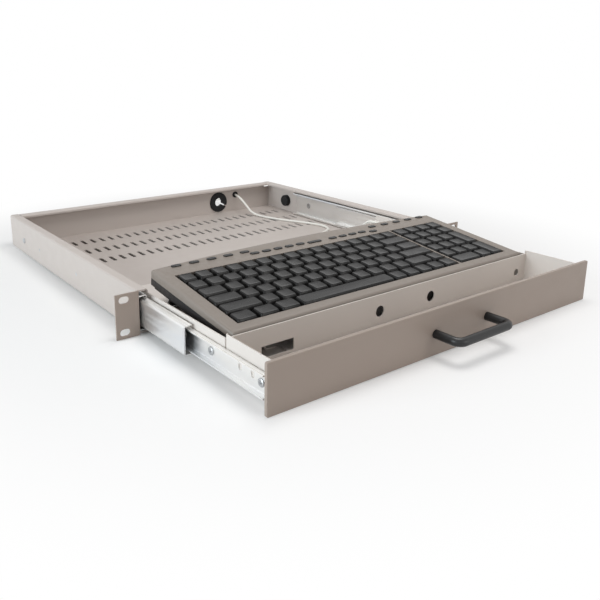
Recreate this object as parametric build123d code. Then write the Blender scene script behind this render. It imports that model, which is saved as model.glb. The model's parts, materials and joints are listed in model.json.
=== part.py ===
from build123d import *
import os
from math import cos, pi, radians, sin, tan

# Rack drawer, one unit high, with a keyboard that tilts up on two fold-out feet.
# All sizes are in millimetres. X runs to the right, Y to the rear and Z upwards.
# Heights in this file count from the underside of the chassis. The finished parts are
# lowered by half the unit height, so that the origin is the centre of the ear slots.

# Rack ears
rack_width = 482.6
unit_height = 43.7
ear_slot_spacing_x = 465.1
ear_slot_spacing_z = 31.75
ear_slot_length = 10.3
ear_slot_width = 6.8

# Chassis tray
chassis_width = 436.6
chassis_depth = 382.0
chassis_sheet = 1.5
chassis_wall_height = 43.0
chassis_bend_radius = 0.9
lip_width = 12.0
lip_return = 4.0
lip_overlap = 0.4
front_recess = 3.5
ear_bend_radius = 2.0

# Vent slots in the chassis floor
vent_columns = 27
vent_pitch = 13.33
vent_first_x = -149.0
vent_rows = 3
vent_row_pitch = 47.5
vent_first_y = 241.5
vent_length = 21.0
vent_width = 4.8

# Cable openings in the rear wall
grommet_x = 114.0
grommet_z = 19.5
grommet_radius = 16.0
grommet_hole_radius = 7.0
grommet_wall_hole_radius = 13.5
grommet_flange = 2.2
grommet_split_width = 2.4
grommet_split_angle = -28.0
cord_hole_x = 147.0
cord_hole_z = 28.5
bush_flange_radius = 5.0
bush_flange = 1.4
bush_wall_hole_radius = 3.6

# Rubber buffers on the side walls
buffer_gap = 18.5
buffer_z = 19.0
buffer_radius = 9.0
buffer_height = 7.0
buffer_screw_radius = 2.0
buffer_screw_head_radius = 3.6
buffer_screw_head = 1.6

# Ball bearing slides
slide_length = 297.0
slide_front_y = 4.5
slide_space = 12.7
slide_height = 35.0
slide_centre_z = 19.4
slide_sheet = 1.2
slide_bend_radius = 0.6
outer_flange_reach = 9.8
outer_lip = 3.1
outer_ball_u = 5.4
ball_radius = 1.6
ball_play = 0.04
groove_depth = 0.34
middle_length = 275.0
middle_setback = 15.5
middle_web_u = 2.6
middle_flange_end_u = 10.4
inner_ball_u = 8.6
inner_flange_end_u = 6.6
cage_sheet = 0.5
cage_length = 120.0
cage_balls = 4
cage_hole_play = 0.06
outer_cage_closed_y = 150.0
inner_cage_closed_y = 163.0
slide_rivet_radius = 2.2
slide_rivet_head_radius = 4.2
slide_rivet_head = 0.45
slide_rivet_inset = 30.0
inner_slot_length = 7.5
inner_slot_width = 4.6
inner_slot_z = 2.6
inner_slot_first_y = -164.5
inner_slot_pitch = 17.0
inner_hole_radius = 2.0
inner_hole_y = -64.0
tray_screw_inset = 8.0
tray_screw_rear_inset = 14.0
tray_screw_before_hole = 42.0
tray_screw_behind_hole = 60.0
tray_screw_radius = 2.0
tray_screw_head_radius = 3.8
tray_screw_head = 1.5
tray_nut_radius = 3.6
tray_nut = 1.8

# Drawer travel: the drawer rests pulled out, as it is used
drawer_out = 193.3

# Drawer tray
drawer_sheet = 1.2
drawer_bend_radius = 0.6
tray_floor_z = 5.6
tray_side_height = 36.7
tray_rear_y = 110.0
tray_front_gap = 0.25

# Front frame: cross wall and two cheeks
cross_wall_y = -125.2
cross_wall_height = 37.2
cheek_height = 40.6
front_flange = 14.0
frame_bend_radius = 0.8
frame_foot = 15.0
access_hole_radius = 5.5
small_hole_radius = 4.0
small_hole_x = 187.0
small_hole_z = 18.0
window_left_x = -169.0
window_width = 34.5
window_bottom_z = 9.6
window_top_z = 20.4
rivet_radius = 1.6
rivet_head_radius = 3.2
rivet_head = 1.1

# Front panel and handle
panel_width = 426.4
panel_sheet = 3.0
panel_corner_radius = 1.6
panel_edge = 0.4
handle_x = 6.0
handle_z = 20.5
handle_spacing = 72.0
handle_reach = 30.0
handle_radius = 4.1
handle_bend_radius = 7.0
handle_screw_radius = 2.5
handle_screw_depth = 12.0
handle_screw_head_radius = 4.6
handle_screw_head = 2.8
handle_washer_radius = 6.0
handle_washer = 1.0
screw_play = 0.1
stud_radius = 1.5
stud_x = 195.0
stud_low_z = 13.0
stud_high_z = 33.0
stud_length = 5.4
nut_width = 5.5
nut_height = 2.4

# Keyboard rails on the tray floor
rail_top_z = 20.4
rail_inner_x = 152.0
rail_outer_x = 196.5
rail_foot = 12.0
rail_front_y = -109.0
rail_length = 136.0

# Keyboard, in its own frame: y from its tilt line to the rear, z from its underside
tilt_line_y = -111.5
tilt_angle = 6.2
foot_strip_radius = 2.2
foot_strip_play = 0.05
foot_strip_length = 32.0
foot_strip_x = 173.0
pad_length = 16.0
pad_width = 8.0
pad_y = 82.0
keyboard_width = 392.0
keyboard_front_y = -11.0
keyboard_end_y = 129.5
keyboard_rear_bulge = 10.0
keyboard_front_height = 18.0
keyboard_rear_height = 20.4
keyboard_skirt_z = 4.2
keyboard_wall = 2.2
keyboard_edge_radius = 3.2
base_wall_height = 8.5
base_play = 0.3
key_unit = 19.05
row_pitch = 17.6
key_rows = 6
key_gap = 0.85
key_block_front_y = 0.5
main_left_x = -183.5
main_units = 15
pad_left_x = 104.9
pad_units = 4
key_well_margin = 0.3
key_proud = 1.2
key_taper = 2.3
key_stroke = 3.0
key_plate_play = 0.3
key_stem = 5.0
key_stem_play = 0.2
key_plate_z = 9.0
key_plate_sheet = 1.2
stem_guide = 0.6
key_plate_width = 369.0
key_plate_front_y = -3.6
key_plate_rear_y = 109.2
well_wall = 0.9
membrane_z = 3.6
membrane_sheet = 0.8
membrane_front_y = 0.0
membrane_rear_y = 100.0
rubber_sheet = 0.5
rib_width = 1.5
rib_pitch = 100.0
ribs_in_row = 4
board_x = 30.0
board_y = 118.5
board_length = 60.0
board_width = 13.0
board_sheet = 1.6
chip_height = 1.8
base_floor = 2.0
hot_key_length = 11.0
hot_key_width = 5.0
hot_key_play = 0.25
hot_key_proud = 0.9
hot_key_long = 19.0
shell_screw_radius = 1.3
shell_screw_head_radius = 2.6
shell_screw_head = 1.2
shell_screw_boss_radius = 3.4

# Fold-out feet under the rear of the keyboard
foot_pivot_y = 104.0
foot_pivot_z = 2.2
foot_gap = 0.3
foot_width = 26.0
foot_thickness = 3.0
foot_x = 174.0
foot_lean = 55.0
foot_pin_radius = 1.2
foot_pin_reach = 2.6
foot_pin_play = 0.06
foot_pocket_play = 0.5
foot_pocket_depth = 4.8
foot_pocket_wall = 1.4

# Keyboard cord
cord_diameter = 3.4
cord_play = 0.06
clip_x = 130.0
clip_y = 100.0
clip_length = 9.0
clip_width = 8.0
clip_height = 6.0
clip_floor = 0.8
relief_x = 130.0
relief_z = 12.0
relief_length = 14.0
relief_radius = 3.2
relief_flange_radius = 4.4
relief_flange = 1.6
relief_seat = 0.8
coil_x = 96.0
coil_y = 436.0
coil_mid_radius = 19.0
coil_width = 10.2
coil_height = 10.2
coil_lead = 18.5
coil_lead_inset = 0.1
tie_width = 5.0
tie_sheet = 0.5
plug_radius = 6.0
plug_neck_length = 6.0
plug_body_length = 22.0
plug_shell_radius = 4.6
plug_shell_length = 9.0
plug_shell_sheet = 0.4

# Places that follow from the sizes above
chassis_half = chassis_width / 2
inner_half = chassis_half - chassis_sheet
drawer_half = inner_half - slide_space
panel_back_y = -drawer_out + panel_sheet
buffer_y = slide_front_y + slide_length + buffer_gap + buffer_radius
tray_floor_top = tray_floor_z + drawer_sheet
ball_v = slide_height / 2 - slide_sheet + groove_depth - ball_play - ball_radius
middle_half = ball_v - ball_radius - ball_play + groove_depth
inner_ball_v = middle_half - slide_sheet + groove_depth - ball_play - ball_radius
inner_half_height = inner_ball_v - ball_radius - ball_play + groove_depth
inner_front_y = panel_back_y + 6.3
middle_front_y = slide_front_y + middle_setback - drawer_out / 2
outer_cage_y = outer_cage_closed_y - drawer_out / 4
inner_cage_y = inner_cage_closed_y - drawer_out * 3 / 4
tilt_line_z = rail_top_z + foot_strip_radius + foot_strip_play
foot_pivot_height = tilt_line_z + foot_pivot_y * sin(radians(tilt_angle)) + foot_pivot_z * cos(radians(tilt_angle))
foot_drop = foot_pivot_height - rail_top_z - foot_thickness / 2 - foot_gap
foot_length = foot_drop / sin(radians(foot_lean))
lid_slope = (keyboard_rear_height - keyboard_front_height) / (keyboard_end_y - keyboard_front_y)
key_plate_top = key_plate_z + key_plate_sheet
key_cap_height = keyboard_front_height + key_proud - key_plate_top - key_stroke - key_plate_play
cord_radius = cord_diameter / 2
coil_bottom = tie_sheet + cord_play
coil_lead_z = coil_bottom + cord_radius + coil_lead_inset
coil_lead_radius = coil_mid_radius + coil_width / 2 - cord_radius - coil_lead_inset
floor_cord_z = chassis_sheet + cord_radius + cord_play
tray_cord_z = tray_floor_top + clip_floor + cord_radius + cord_play
handle_xs = [handle_x - handle_spacing / 2, handle_x + handle_spacing / 2]


def sheet_profile(points, thickness, radius):
    """A bent sheet's section: a line with round bends, thickened to the left of its direction."""
    line = Wire(FilletPolyline(*points, radius=radius).edges())
    start = Vector(*points[0])
    direction = Vector(*points[1]) - start
    middle = start + direction * 0.5 + direction.normalized().rotate(Axis.Z, 90) * (thickness / 2)
    sections = [make_face(offset(line, thickness, side=side, closed=True).edges()) for side in Side if side != Side.BOTH]
    return next(section for section in sections if section.faces()[0].is_inside(middle))


def along_y(profile, start, length):
    """Extrudes an X-Z section rearwards from start."""
    return Pos(0, start, 0) * extrude(Plane.XZ * profile, -length)


def along_x(profile, start, length):
    """Extrudes a Y-Z section to the right from start."""
    return Pos(start, 0, 0) * extrude(Plane.YZ * profile, length)


def upright(sketch, bottom, height):
    """Extrudes an X-Y plan upwards from bottom."""
    return Pos(0, 0, bottom) * extrude(sketch, height)


def block(x0, x1, y0, y1, z0, z1):
    """A box from its six limits."""
    return Pos((x0 + x1) / 2, (y0 + y1) / 2, (z0 + z1) / 2) * Box(x1 - x0, y1 - y0, z1 - z0)


def rod_y(x, z, radius, y0, y1):
    """A round bar along Y."""
    return Pos(x, (y0 + y1) / 2, z) * Rot(90, 0, 0) * Cylinder(radius, y1 - y0)


def rod_x(y, z, radius, x0, x1):
    """A round bar along X."""
    return Pos((x0 + x1) / 2, y, z) * Rot(0, 90, 0) * Cylinder(radius, abs(x1 - x0))


def rod_z(x, y, radius, z0, z1):
    """A round bar along Z."""
    return Pos(x, y, (z0 + z1) / 2) * Cylinder(radius, z1 - z0)


def group(shapes):
    """Separate solids that share a node."""
    return Compound([solid for shape in shapes for solid in shape.solids()])


def to_right(part):
    """The right-hand twin of a part on the left."""
    return group([part.mirror(Plane.YZ)])


# Chassis


def vent_slots():
    slot = Rot(0, 0, 90) * SlotOverall(vent_length, vent_width)
    places = [
        Pos(vent_first_x + column * vent_pitch, vent_first_y + row * vent_row_pitch)
        for column in range(vent_columns)
        for row in range(vent_rows)
    ]
    plan = Sketch() + [place * slot for place in places]
    return upright(plan, -chassis_sheet, 3 * chassis_sheet)


def ear_slots():
    slot = SlotOverall(ear_slot_length, ear_slot_width)
    places = [
        Pos(side_x * ear_slot_spacing_x / 2, unit_height / 2 + side_z * ear_slot_spacing_z / 2)
        for side_x in (-1, 1)
        for side_z in (-1, 1)
    ]
    return along_y(Sketch() + [place * slot for place in places], -chassis_sheet, 3 * chassis_sheet)


def chassis_ear():
    """The right side wall's front edge with the ear bent outwards from it."""
    plan = sheet_profile(
        [(inner_half, front_recess + 1), (inner_half, 0), (rack_width / 2, 0)], chassis_sheet, ear_bend_radius
    )
    return upright(plan, 0, unit_height)


def chassis_tray():
    lip_edge = chassis_half - lip_width
    lip_low = chassis_wall_height - lip_return
    bend = chassis_bend_radius + chassis_sheet
    section = sheet_profile(
        [
            (-lip_edge, lip_low), (-lip_edge, chassis_wall_height),
            (-chassis_half, chassis_wall_height), (-chassis_half, 0),
            (chassis_half, 0), (chassis_half, chassis_wall_height),
            (lip_edge, chassis_wall_height), (lip_edge, lip_low),
        ],
        chassis_sheet, bend,
    )
    tray = along_y(section, front_recess, chassis_depth - front_recess)
    rear_lip = chassis_depth - lip_width
    wall_top = lip_low - 5
    rear_section = sheet_profile(
        [
            (chassis_depth, wall_top), (chassis_depth, chassis_wall_height),
            (rear_lip, chassis_wall_height), (rear_lip, lip_low),
        ],
        chassis_sheet, bend,
    )
    tray += along_x(rear_section, -lip_edge - lip_overlap, 2 * (lip_edge + lip_overlap))
    tray += block(-inner_half - lip_overlap, inner_half + lip_overlap, chassis_depth - chassis_sheet,
                  chassis_depth, chassis_sheet / 2, wall_top + 1)
    for ear in (chassis_ear(), to_right(chassis_ear())):
        tray += ear
    tray -= vent_slots() + ear_slots()
    tray -= rod_y(grommet_x, grommet_z, grommet_wall_hole_radius, chassis_depth - bend, chassis_depth + bend)
    tray -= rod_y(cord_hole_x, cord_hole_z, bush_wall_hole_radius, chassis_depth - bend, chassis_depth + bend)
    for side in (-1, 1):
        tray -= rod_x(buffer_y, buffer_z, buffer_screw_radius, side * (inner_half - 1), side * (chassis_half + 1))
        for y in slide_rivet_ys():
            tray -= rod_x(y, slide_centre_z, slide_rivet_radius, side * (inner_half - 1), side * (chassis_half + 1))
    return tray


def cable_grommet():
    """A split rubber grommet: two flanges with the wall between them."""
    rear_face = chassis_depth
    front_face = chassis_depth - chassis_sheet
    ring = rod_y(grommet_x, grommet_z, grommet_radius, front_face - grommet_flange, front_face)
    ring += rod_y(grommet_x, grommet_z, grommet_radius, rear_face, rear_face + grommet_flange)
    ring = fillet(ring.edges().filter_by(GeomType.CIRCLE).group_by(Axis.Y)[0], grommet_flange * 0.6)
    ring += rod_y(grommet_x, grommet_z, grommet_wall_hole_radius, front_face, rear_face)
    ring -= rod_y(grommet_x, grommet_z, grommet_hole_radius, front_face - 9, rear_face + 9)
    split = Box(2 * grommet_radius, 4 * grommet_radius, grommet_split_width)
    split = Pos(grommet_radius, 0, 0) * split
    return ring - Pos(grommet_x, chassis_depth, grommet_z) * Rot(0, -grommet_split_angle, 0) * split


def cord_bush():
    """A small bush round the cord where it passes the rear wall."""
    front_face = chassis_depth - chassis_sheet
    bush = rod_y(cord_hole_x, cord_hole_z, bush_flange_radius, front_face - bush_flange, front_face)
    bush += rod_y(cord_hole_x, cord_hole_z, bush_flange_radius, chassis_depth, chassis_depth + bush_flange)
    bush += rod_y(cord_hole_x, cord_hole_z, bush_wall_hole_radius, front_face, chassis_depth)
    return bush - rod_y(cord_hole_x, cord_hole_z, cord_radius + cord_play, front_face - 9, chassis_depth + 9)


def buffers():
    shapes = []
    for side in (-1, 1):
        buffer = rod_x(buffer_y, buffer_z, buffer_radius, inner_half - buffer_height, inner_half)
        buffer = fillet(buffer.edges().group_by(Axis.X)[0], 1.8)
        buffer -= rod_x(buffer_y, buffer_z, buffer_screw_radius, inner_half - buffer_height + 2, inner_half)
        shapes.append(buffer if side > 0 else buffer.mirror(Plane.YZ))
    return group(shapes)


def buffer_screws():
    shapes = []
    for side in (-1, 1):
        shank = rod_x(buffer_y, buffer_z, buffer_screw_radius, inner_half - buffer_height + 2, chassis_half)
        head = rod_x(buffer_y, buffer_z, buffer_screw_head_radius, chassis_half, chassis_half + buffer_screw_head)
        screw = shank + head
        shapes.append(screw if side > 0 else screw.mirror(Plane.YZ))
    return group(shapes)


# Slides. A section is drawn for the left slide: u counts from the chassis wall, v from
# the slide's middle height.


def slide_point(u, v):
    return (-inner_half + u, slide_centre_z + v)


def channel_section(web_u, flange_u, half, opens_right):
    """A C-shaped section with its web at web_u and its flanges reaching to flange_u."""
    points = [slide_point(flange_u, half), slide_point(web_u, half)]
    points += [slide_point(web_u, -half), slide_point(flange_u, -half)]
    if not opens_right:
        points.reverse()
    return sheet_profile(points, slide_sheet, slide_bend_radius + slide_sheet)


def ball_groove(u, v, start, length):
    """Two round grooves, above and below, that the balls run in."""
    x, _ = slide_point(u, 0)
    radius = ball_radius + ball_play
    low = rod_y(x, slide_centre_z - v, radius, start, start + length)
    return low + rod_y(x, slide_centre_z + v, radius, start, start + length)


def slide_rivet_ys():
    first = slide_front_y + slide_rivet_inset
    last = slide_front_y + slide_length - slide_rivet_inset
    return [first, (first + last) / 2, last]


def slide_outer():
    half = slide_height / 2
    lip_v = half - outer_lip
    section = sheet_profile(
        [
            slide_point(outer_flange_reach, lip_v), slide_point(outer_flange_reach, half), slide_point(0, half),
            slide_point(0, -half), slide_point(outer_flange_reach, -half), slide_point(outer_flange_reach, -lip_v),
        ],
        slide_sheet, slide_bend_radius + slide_sheet,
    )
    member = along_y(section, slide_front_y, slide_length)
    member -= ball_groove(outer_ball_u, ball_v, slide_front_y, slide_length)
    for y in slide_rivet_ys():
        member -= rod_x(y, slide_centre_z, slide_rivet_radius, -inner_half - 1, -inner_half + slide_sheet + 1)
    return member


def slide_middle():
    section = channel_section(middle_web_u, middle_flange_end_u, middle_half, True)
    member = along_y(section, middle_front_y, middle_length)
    member -= ball_groove(outer_ball_u, ball_v, middle_front_y, middle_length)
    return member - ball_groove(inner_ball_u, inner_ball_v, middle_front_y, middle_length)


def tray_screw_ys():
    beside_hole = [inner_hole_y - tray_screw_before_hole, inner_hole_y + tray_screw_behind_hole]
    return [inner_front_y + tray_screw_inset, *beside_hole, tray_rear_y - tray_screw_rear_inset]


def slide_inner():
    section = channel_section(slide_space, inner_flange_end_u, inner_half_height, False)
    member = along_y(section, inner_front_y, slide_length)
    member -= ball_groove(inner_ball_u, inner_ball_v, inner_front_y, slide_length)
    web = -inner_half + slide_space - slide_sheet - 1
    for index in range(2):
        slot = Rot(0, 0, 90) * SlotOverall(inner_slot_length, inner_slot_width)
        place = Pos(inner_slot_first_y + index * inner_slot_pitch, slide_centre_z + inner_slot_z)
        member -= along_x(place * slot, web, slide_sheet + 2)
    member -= rod_x(inner_hole_y, slide_centre_z, inner_hole_radius, web, web + slide_sheet + 2)
    for y in tray_screw_ys():
        member -= rod_x(y, slide_centre_z, tray_screw_radius, web, web + slide_sheet + 2)
    return member


def cage_section(web_u, end_u, v):
    half = v + cage_sheet / 2
    points = [slide_point(end_u, half), slide_point(web_u, half), slide_point(web_u, -half), slide_point(end_u, -half)]
    return sheet_profile(points, cage_sheet, cage_sheet + 0.3)


def ball_ys(centre_y):
    pitch = cage_length / cage_balls
    return [centre_y + (index - (cage_balls - 1) / 2) * pitch for index in range(cage_balls)]


def ball_cage(web_u, end_u, ball_u, v, centre_y):
    cage = along_y(cage_section(web_u, end_u, v), centre_y - cage_length / 2, cage_length)
    x, _ = slide_point(ball_u, 0)
    for y in ball_ys(centre_y):
        for side in (-1, 1):
            z = slide_centre_z + side * v
            cage -= rod_z(x, y, ball_radius + cage_hole_play, z - 1, z + 1)
    return cage


def balls(ball_u, v, centre_y):
    x, _ = slide_point(ball_u, 0)
    return group(
        Pos(x, y, slide_centre_z + side * v) * Sphere(ball_radius)
        for y in ball_ys(centre_y)
        for side in (-1, 1)
    )


def outer_cage():
    return ball_cage(middle_web_u - 0.2 - cage_sheet, outer_ball_u + 2.1, outer_ball_u, ball_v, outer_cage_y)


def outer_balls():
    return balls(outer_ball_u, ball_v, outer_cage_y)


def inner_cage():
    web = middle_web_u + slide_sheet + 0.3
    return ball_cage(web, inner_ball_u + 2.1, inner_ball_u, inner_ball_v, inner_cage_y)


def inner_balls():
    return balls(inner_ball_u, inner_ball_v, inner_cage_y)


def slide_rivets():
    shapes = []
    for side in (-1, 1):
        for y in slide_rivet_ys():
            inner_face = inner_half - slide_sheet
            shank = rod_x(y, slide_centre_z, slide_rivet_radius, inner_face, chassis_half)
            head = rod_x(y, slide_centre_z, slide_rivet_head_radius, inner_face - slide_rivet_head, inner_face)
            rivet = shank + head
            shapes.append(rivet if side > 0 else rivet.mirror(Plane.YZ))
    return group(shapes)


def tray_screws():
    """Screws through the inner slide members into nuts on the drawer's sides."""
    shapes = []
    web_face = drawer_half + slide_sheet
    for side in (-1, 1):
        for y in tray_screw_ys():
            shank = rod_x(y, slide_centre_z, tray_screw_radius, drawer_half - drawer_sheet - tray_nut, web_face)
            head = rod_x(y, slide_centre_z, tray_screw_head_radius, web_face, web_face + tray_screw_head)
            screw = shank + head
            shapes.append(screw if side > 0 else screw.mirror(Plane.YZ))
    return group(shapes)


def tray_nuts():
    """Clinch nuts on the inner faces of the drawer's sides."""
    shapes = []
    face = drawer_half - drawer_sheet
    for side in (-1, 1):
        for y in tray_screw_ys():
            nut = rod_x(y, slide_centre_z, tray_nut_radius, face - tray_nut, face)
            nut -= rod_x(y, slide_centre_z, tray_screw_radius, face - tray_nut - 1, face + 1)
            shapes.append(nut if side > 0 else nut.mirror(Plane.YZ))
    return group(shapes)


# Drawer


def side_screw_holes(part):
    for side in (-1, 1):
        for y in tray_screw_ys():
            reach = [side * (drawer_half - drawer_sheet - 2), side * (drawer_half + 1)]
            part -= rod_x(y, slide_centre_z, tray_screw_radius, *reach)
    return part


def drawer_tray():
    section = sheet_profile(
        [
            (-drawer_half, tray_side_height), (-drawer_half, tray_floor_z),
            (drawer_half, tray_floor_z), (drawer_half, tray_side_height),
        ],
        drawer_sheet, drawer_bend_radius + drawer_sheet,
    )
    side_front = cross_wall_y + tray_front_gap
    tray = along_y(section, side_front, tray_rear_y - side_front)
    floor_half = drawer_half - drawer_sheet - drawer_bend_radius
    floor_front = panel_back_y + drawer_sheet + tray_front_gap
    tray += block(-floor_half, floor_half, floor_front, side_front, tray_floor_z, tray_floor_top)
    for x, y in frame_rivet_places() + rail_rivet_places():
        tray -= rod_z(x, y, rivet_radius, tray_floor_z - 1, tray_floor_top + 1)
    tray -= rod_z(clip_x + clip_width / 2 + 3, clip_y, rivet_radius, tray_floor_z - 1, tray_floor_top + 1)
    return side_screw_holes(tray)


def frame_rivet_places():
    y = cross_wall_y + frame_foot * 0.6
    return [(-120.0, y), (-60.0, y), (60.0, y), (120.0, y)]


def rail_rivet_places():
    ys = [rail_front_y + 26, rail_front_y + rail_length - 20]
    x = rail_inner_x - rail_foot / 2
    return [(side * x, y) for side in (-1, 1) for y in ys]


def front_frame():
    """Cross wall and cheeks from one strip, bent like a U in plan, with a foot on the tray floor."""
    flange_x = drawer_half - front_flange
    plan = sheet_profile(
        [
            (-flange_x, panel_back_y), (-drawer_half, panel_back_y), (-drawer_half, cross_wall_y),
            (drawer_half, cross_wall_y), (drawer_half, panel_back_y), (flange_x, panel_back_y),
        ][::-1],
        drawer_sheet, frame_bend_radius + drawer_sheet,
    )
    frame = upright(plan, tray_floor_top, cheek_height - tray_floor_top)
    step_half = drawer_half - drawer_sheet - frame_bend_radius
    frame -= block(-step_half, step_half, cross_wall_y - 4, cross_wall_y + 1, cross_wall_height, cheek_height + 1)
    foot_half = rail_inner_x - rail_foot - 2
    foot_section = sheet_profile(
        [
            (cross_wall_y + frame_foot, tray_floor_top), (cross_wall_y - drawer_sheet, tray_floor_top),
            (cross_wall_y - drawer_sheet, tray_floor_top + 6),
        ][::-1],
        drawer_sheet, frame_bend_radius + drawer_sheet,
    )
    frame += along_x(foot_section, -foot_half, 2 * foot_half)
    y0 = cross_wall_y - 4
    y1 = cross_wall_y + 4
    window_right = window_left_x + window_width
    frame -= block(window_left_x, window_right, y0, y1, window_bottom_z, window_top_z)
    for x in handle_xs:
        frame -= rod_y(x, handle_z, access_hole_radius, y0, y1)
    for side in (-1, 1):
        frame -= rod_y(side * small_hole_x, small_hole_z, small_hole_radius, y0, y1)
    for x, y in frame_rivet_places():
        frame -= rod_z(x, y, rivet_radius, tray_floor_top - 1, tray_floor_top + 3)
    for x, z in stud_places():
        frame -= rod_y(x, z, stud_radius + screw_play, panel_back_y - 1, panel_back_y + 4)
    return side_screw_holes(frame)


def stud_places():
    return [(side * stud_x, z) for side in (-1, 1) for z in (stud_low_z, stud_high_z)]


def front_panel():
    plate = RectangleRounded(panel_width, unit_height, panel_corner_radius)
    panel = along_y(Pos(0, unit_height / 2) * plate, -drawer_out, panel_sheet)
    panel = chamfer(panel.faces().sort_by(Axis.Y)[0].edges(), panel_edge)
    for x in handle_xs:
        panel -= rod_y(x, handle_z, handle_screw_radius + screw_play, -drawer_out - 1, panel_back_y + 1)
    for x, z in stud_places():
        panel += rod_y(x, z, stud_radius, panel_back_y - 0.5, panel_back_y + stud_length)
    return panel


def panel_nuts():
    shapes = []
    face = panel_back_y + drawer_sheet
    for x, z in stud_places():
        hexagon = RegularPolygon(nut_width / 2, 6, major_radius=False)
        nut = along_y(Pos(x, z) * hexagon, face, nut_height)
        shapes.append(nut - rod_y(x, z, stud_radius, face - 1, face + nut_height + 1))
    return group(shapes)


def handle():
    """A bow handle of round bar with threaded feet."""
    left, right = handle_xs
    outer_y = -drawer_out - handle_reach + handle_radius
    path = FilletPolyline(
        (left, -drawer_out, handle_z), (left, outer_y, handle_z), (right, outer_y, handle_z),
        (right, -drawer_out, handle_z), radius=handle_bend_radius,
    )
    bow = sweep(Plane(origin=(left, -drawer_out, handle_z), z_dir=(0, -1, 0)) * Circle(handle_radius), path=path)
    for x in handle_xs:
        bow -= rod_y(x, handle_z, handle_screw_radius, -drawer_out - handle_screw_depth, -drawer_out + 1)
    return bow


def handle_screws():
    shapes = []
    face = panel_back_y + handle_washer
    for x in handle_xs:
        screw = rod_y(x, handle_z, handle_screw_radius, -drawer_out - handle_screw_depth + 1, face)
        head = rod_y(x, handle_z, handle_screw_head_radius, face, face + handle_screw_head)
        head = fillet(head.edges().group_by(Axis.Y)[-1], handle_screw_head * 0.4)
        shapes.append(screw + head)
    return group(shapes)


def handle_washers():
    face = panel_back_y
    return group(
        rod_y(x, handle_z, handle_washer_radius, face, face + handle_washer)
        - rod_y(x, handle_z, handle_screw_radius + screw_play, face - 1, face + handle_washer + 1)
        for x in handle_xs
    )


def left_keyboard_rail():
    """A bridge of bent sheet that the keyboard's feet stand on."""
    foot_top = tray_floor_top + drawer_sheet
    section = sheet_profile(
        [
            (-rail_inner_x + rail_foot, foot_top), (-rail_inner_x, foot_top),
            (-rail_inner_x, rail_top_z), (-rail_outer_x, rail_top_z), (-rail_outer_x, tray_floor_top),
        ],
        drawer_sheet, frame_bend_radius + drawer_sheet,
    )
    rail = along_y(section, rail_front_y, rail_length)
    for x, y in rail_rivet_places():
        rail -= rod_z(x, y, rivet_radius, tray_floor_top - 1, tray_floor_top + 3)
    return rail


def floor_rivets():
    """Rivets that hold the front frame's foot and the keyboard rails to the tray floor."""
    shapes = []
    top = tray_floor_top + drawer_sheet
    for x, y in frame_rivet_places() + rail_rivet_places():
        shank = rod_z(x, y, rivet_radius, tray_floor_z, top)
        head = rod_z(x, y, rivet_head_radius, top, top + rivet_head)
        shapes.append(shank + fillet(head.edges().group_by(Axis.Z)[-1], rivet_head * 0.7))
    return group(shapes)


def cord_clip():
    """A saddle that holds the cord at the tray's rear, with its rivet."""
    clip = block(clip_x - clip_width / 2, clip_x + clip_width / 2, clip_y - clip_length / 2,
                 clip_y + clip_length / 2, tray_floor_top, tray_floor_top + clip_height)
    clip = fillet(clip.edges().filter_by(Axis.Y).group_by(Axis.Z)[-1], 2.0)
    tongue_end = clip_x + clip_width / 2 + 6
    clip += block(clip_x, tongue_end, clip_y - clip_length / 2, clip_y + clip_length / 2,
                  tray_floor_top, tray_floor_top + 1.2)
    clip -= rod_y(clip_x, tray_cord_z, cord_radius + cord_play, clip_y - clip_length, clip_y + clip_length)
    return clip - rod_z(clip_x + clip_width / 2 + 3, clip_y, rivet_radius, tray_floor_top - 1, tray_floor_top + 3)


def clip_rivet():
    top = tray_floor_top + 1.2
    x = clip_x + clip_width / 2 + 3
    return rod_z(x, clip_y, rivet_radius, tray_floor_z, top) + rod_z(x, clip_y, 2.6, top, top + 0.9)


# Keyboard


def raise_keyboard(part):
    """Takes a part from the keyboard's own frame to its tilted place on the rails."""
    return Pos(0, tilt_line_y, tilt_line_z) * Rot(tilt_angle, 0, 0) * part


def lid_height(y):
    """Height of the lid's top face at y."""
    return keyboard_front_height + (y - keyboard_front_y) * lid_slope


def keyboard_plan(inset):
    """Plan outline with a rear edge that bows out a little."""
    half = keyboard_width / 2 - inset
    front = keyboard_front_y + inset
    end = keyboard_end_y - inset
    sides = Polyline((half, end), (half, front), (-half, front), (-half, end))
    rear = ThreePointArc((-half, end), (0, end + keyboard_rear_bulge), (half, end))
    return make_face(sides.edges() + rear.edges())


def lid_wedge(top_drop):
    """Space under the sloping top face, lowered by top_drop."""
    reach = keyboard_end_y + keyboard_rear_bulge + 5
    low_y = keyboard_front_y - 5
    profile = Polygon(
        (low_y, -1), (reach, -1), (reach, lid_height(reach) - top_drop), (low_y, lid_height(low_y) - top_drop),
        align=None,
    )
    return along_x(profile, -keyboard_width, 2 * keyboard_width)


def key_wells():
    """Plan limits of the openings for the main keys and the number pad."""
    front = key_block_front_y - key_well_margin
    rear = key_block_front_y + key_rows * row_pitch + key_well_margin
    wells = []
    for left, units in ((main_left_x, main_units), (pad_left_x, pad_units)):
        wells.append((left - key_well_margin, left + units * key_unit + key_well_margin, front, rear))
    return wells


def hot_key_places():
    """Centre and length of each small oval key behind the main keys."""
    rear_row = keyboard_end_y - 3.5
    front_row = rear_row - 8.5
    places = [(-171.0 + 20.2 * index, rear_row, hot_key_length) for index in range(5)]
    places += [(-82.0 + 15.2 * index, front_row + 1.5, hot_key_length) for index in range(5)]
    places += [(-2.0, front_row, hot_key_long)]
    places += [(25.0 + 15.0 * index, front_row, hot_key_length) for index in range(4)]
    places += [(85.0, front_row - 3.5, hot_key_length), (95.0, rear_row, hot_key_length)]
    return places + [(116.0 + 20.5 * index, rear_row, hot_key_length) for index in range(4)]


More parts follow.
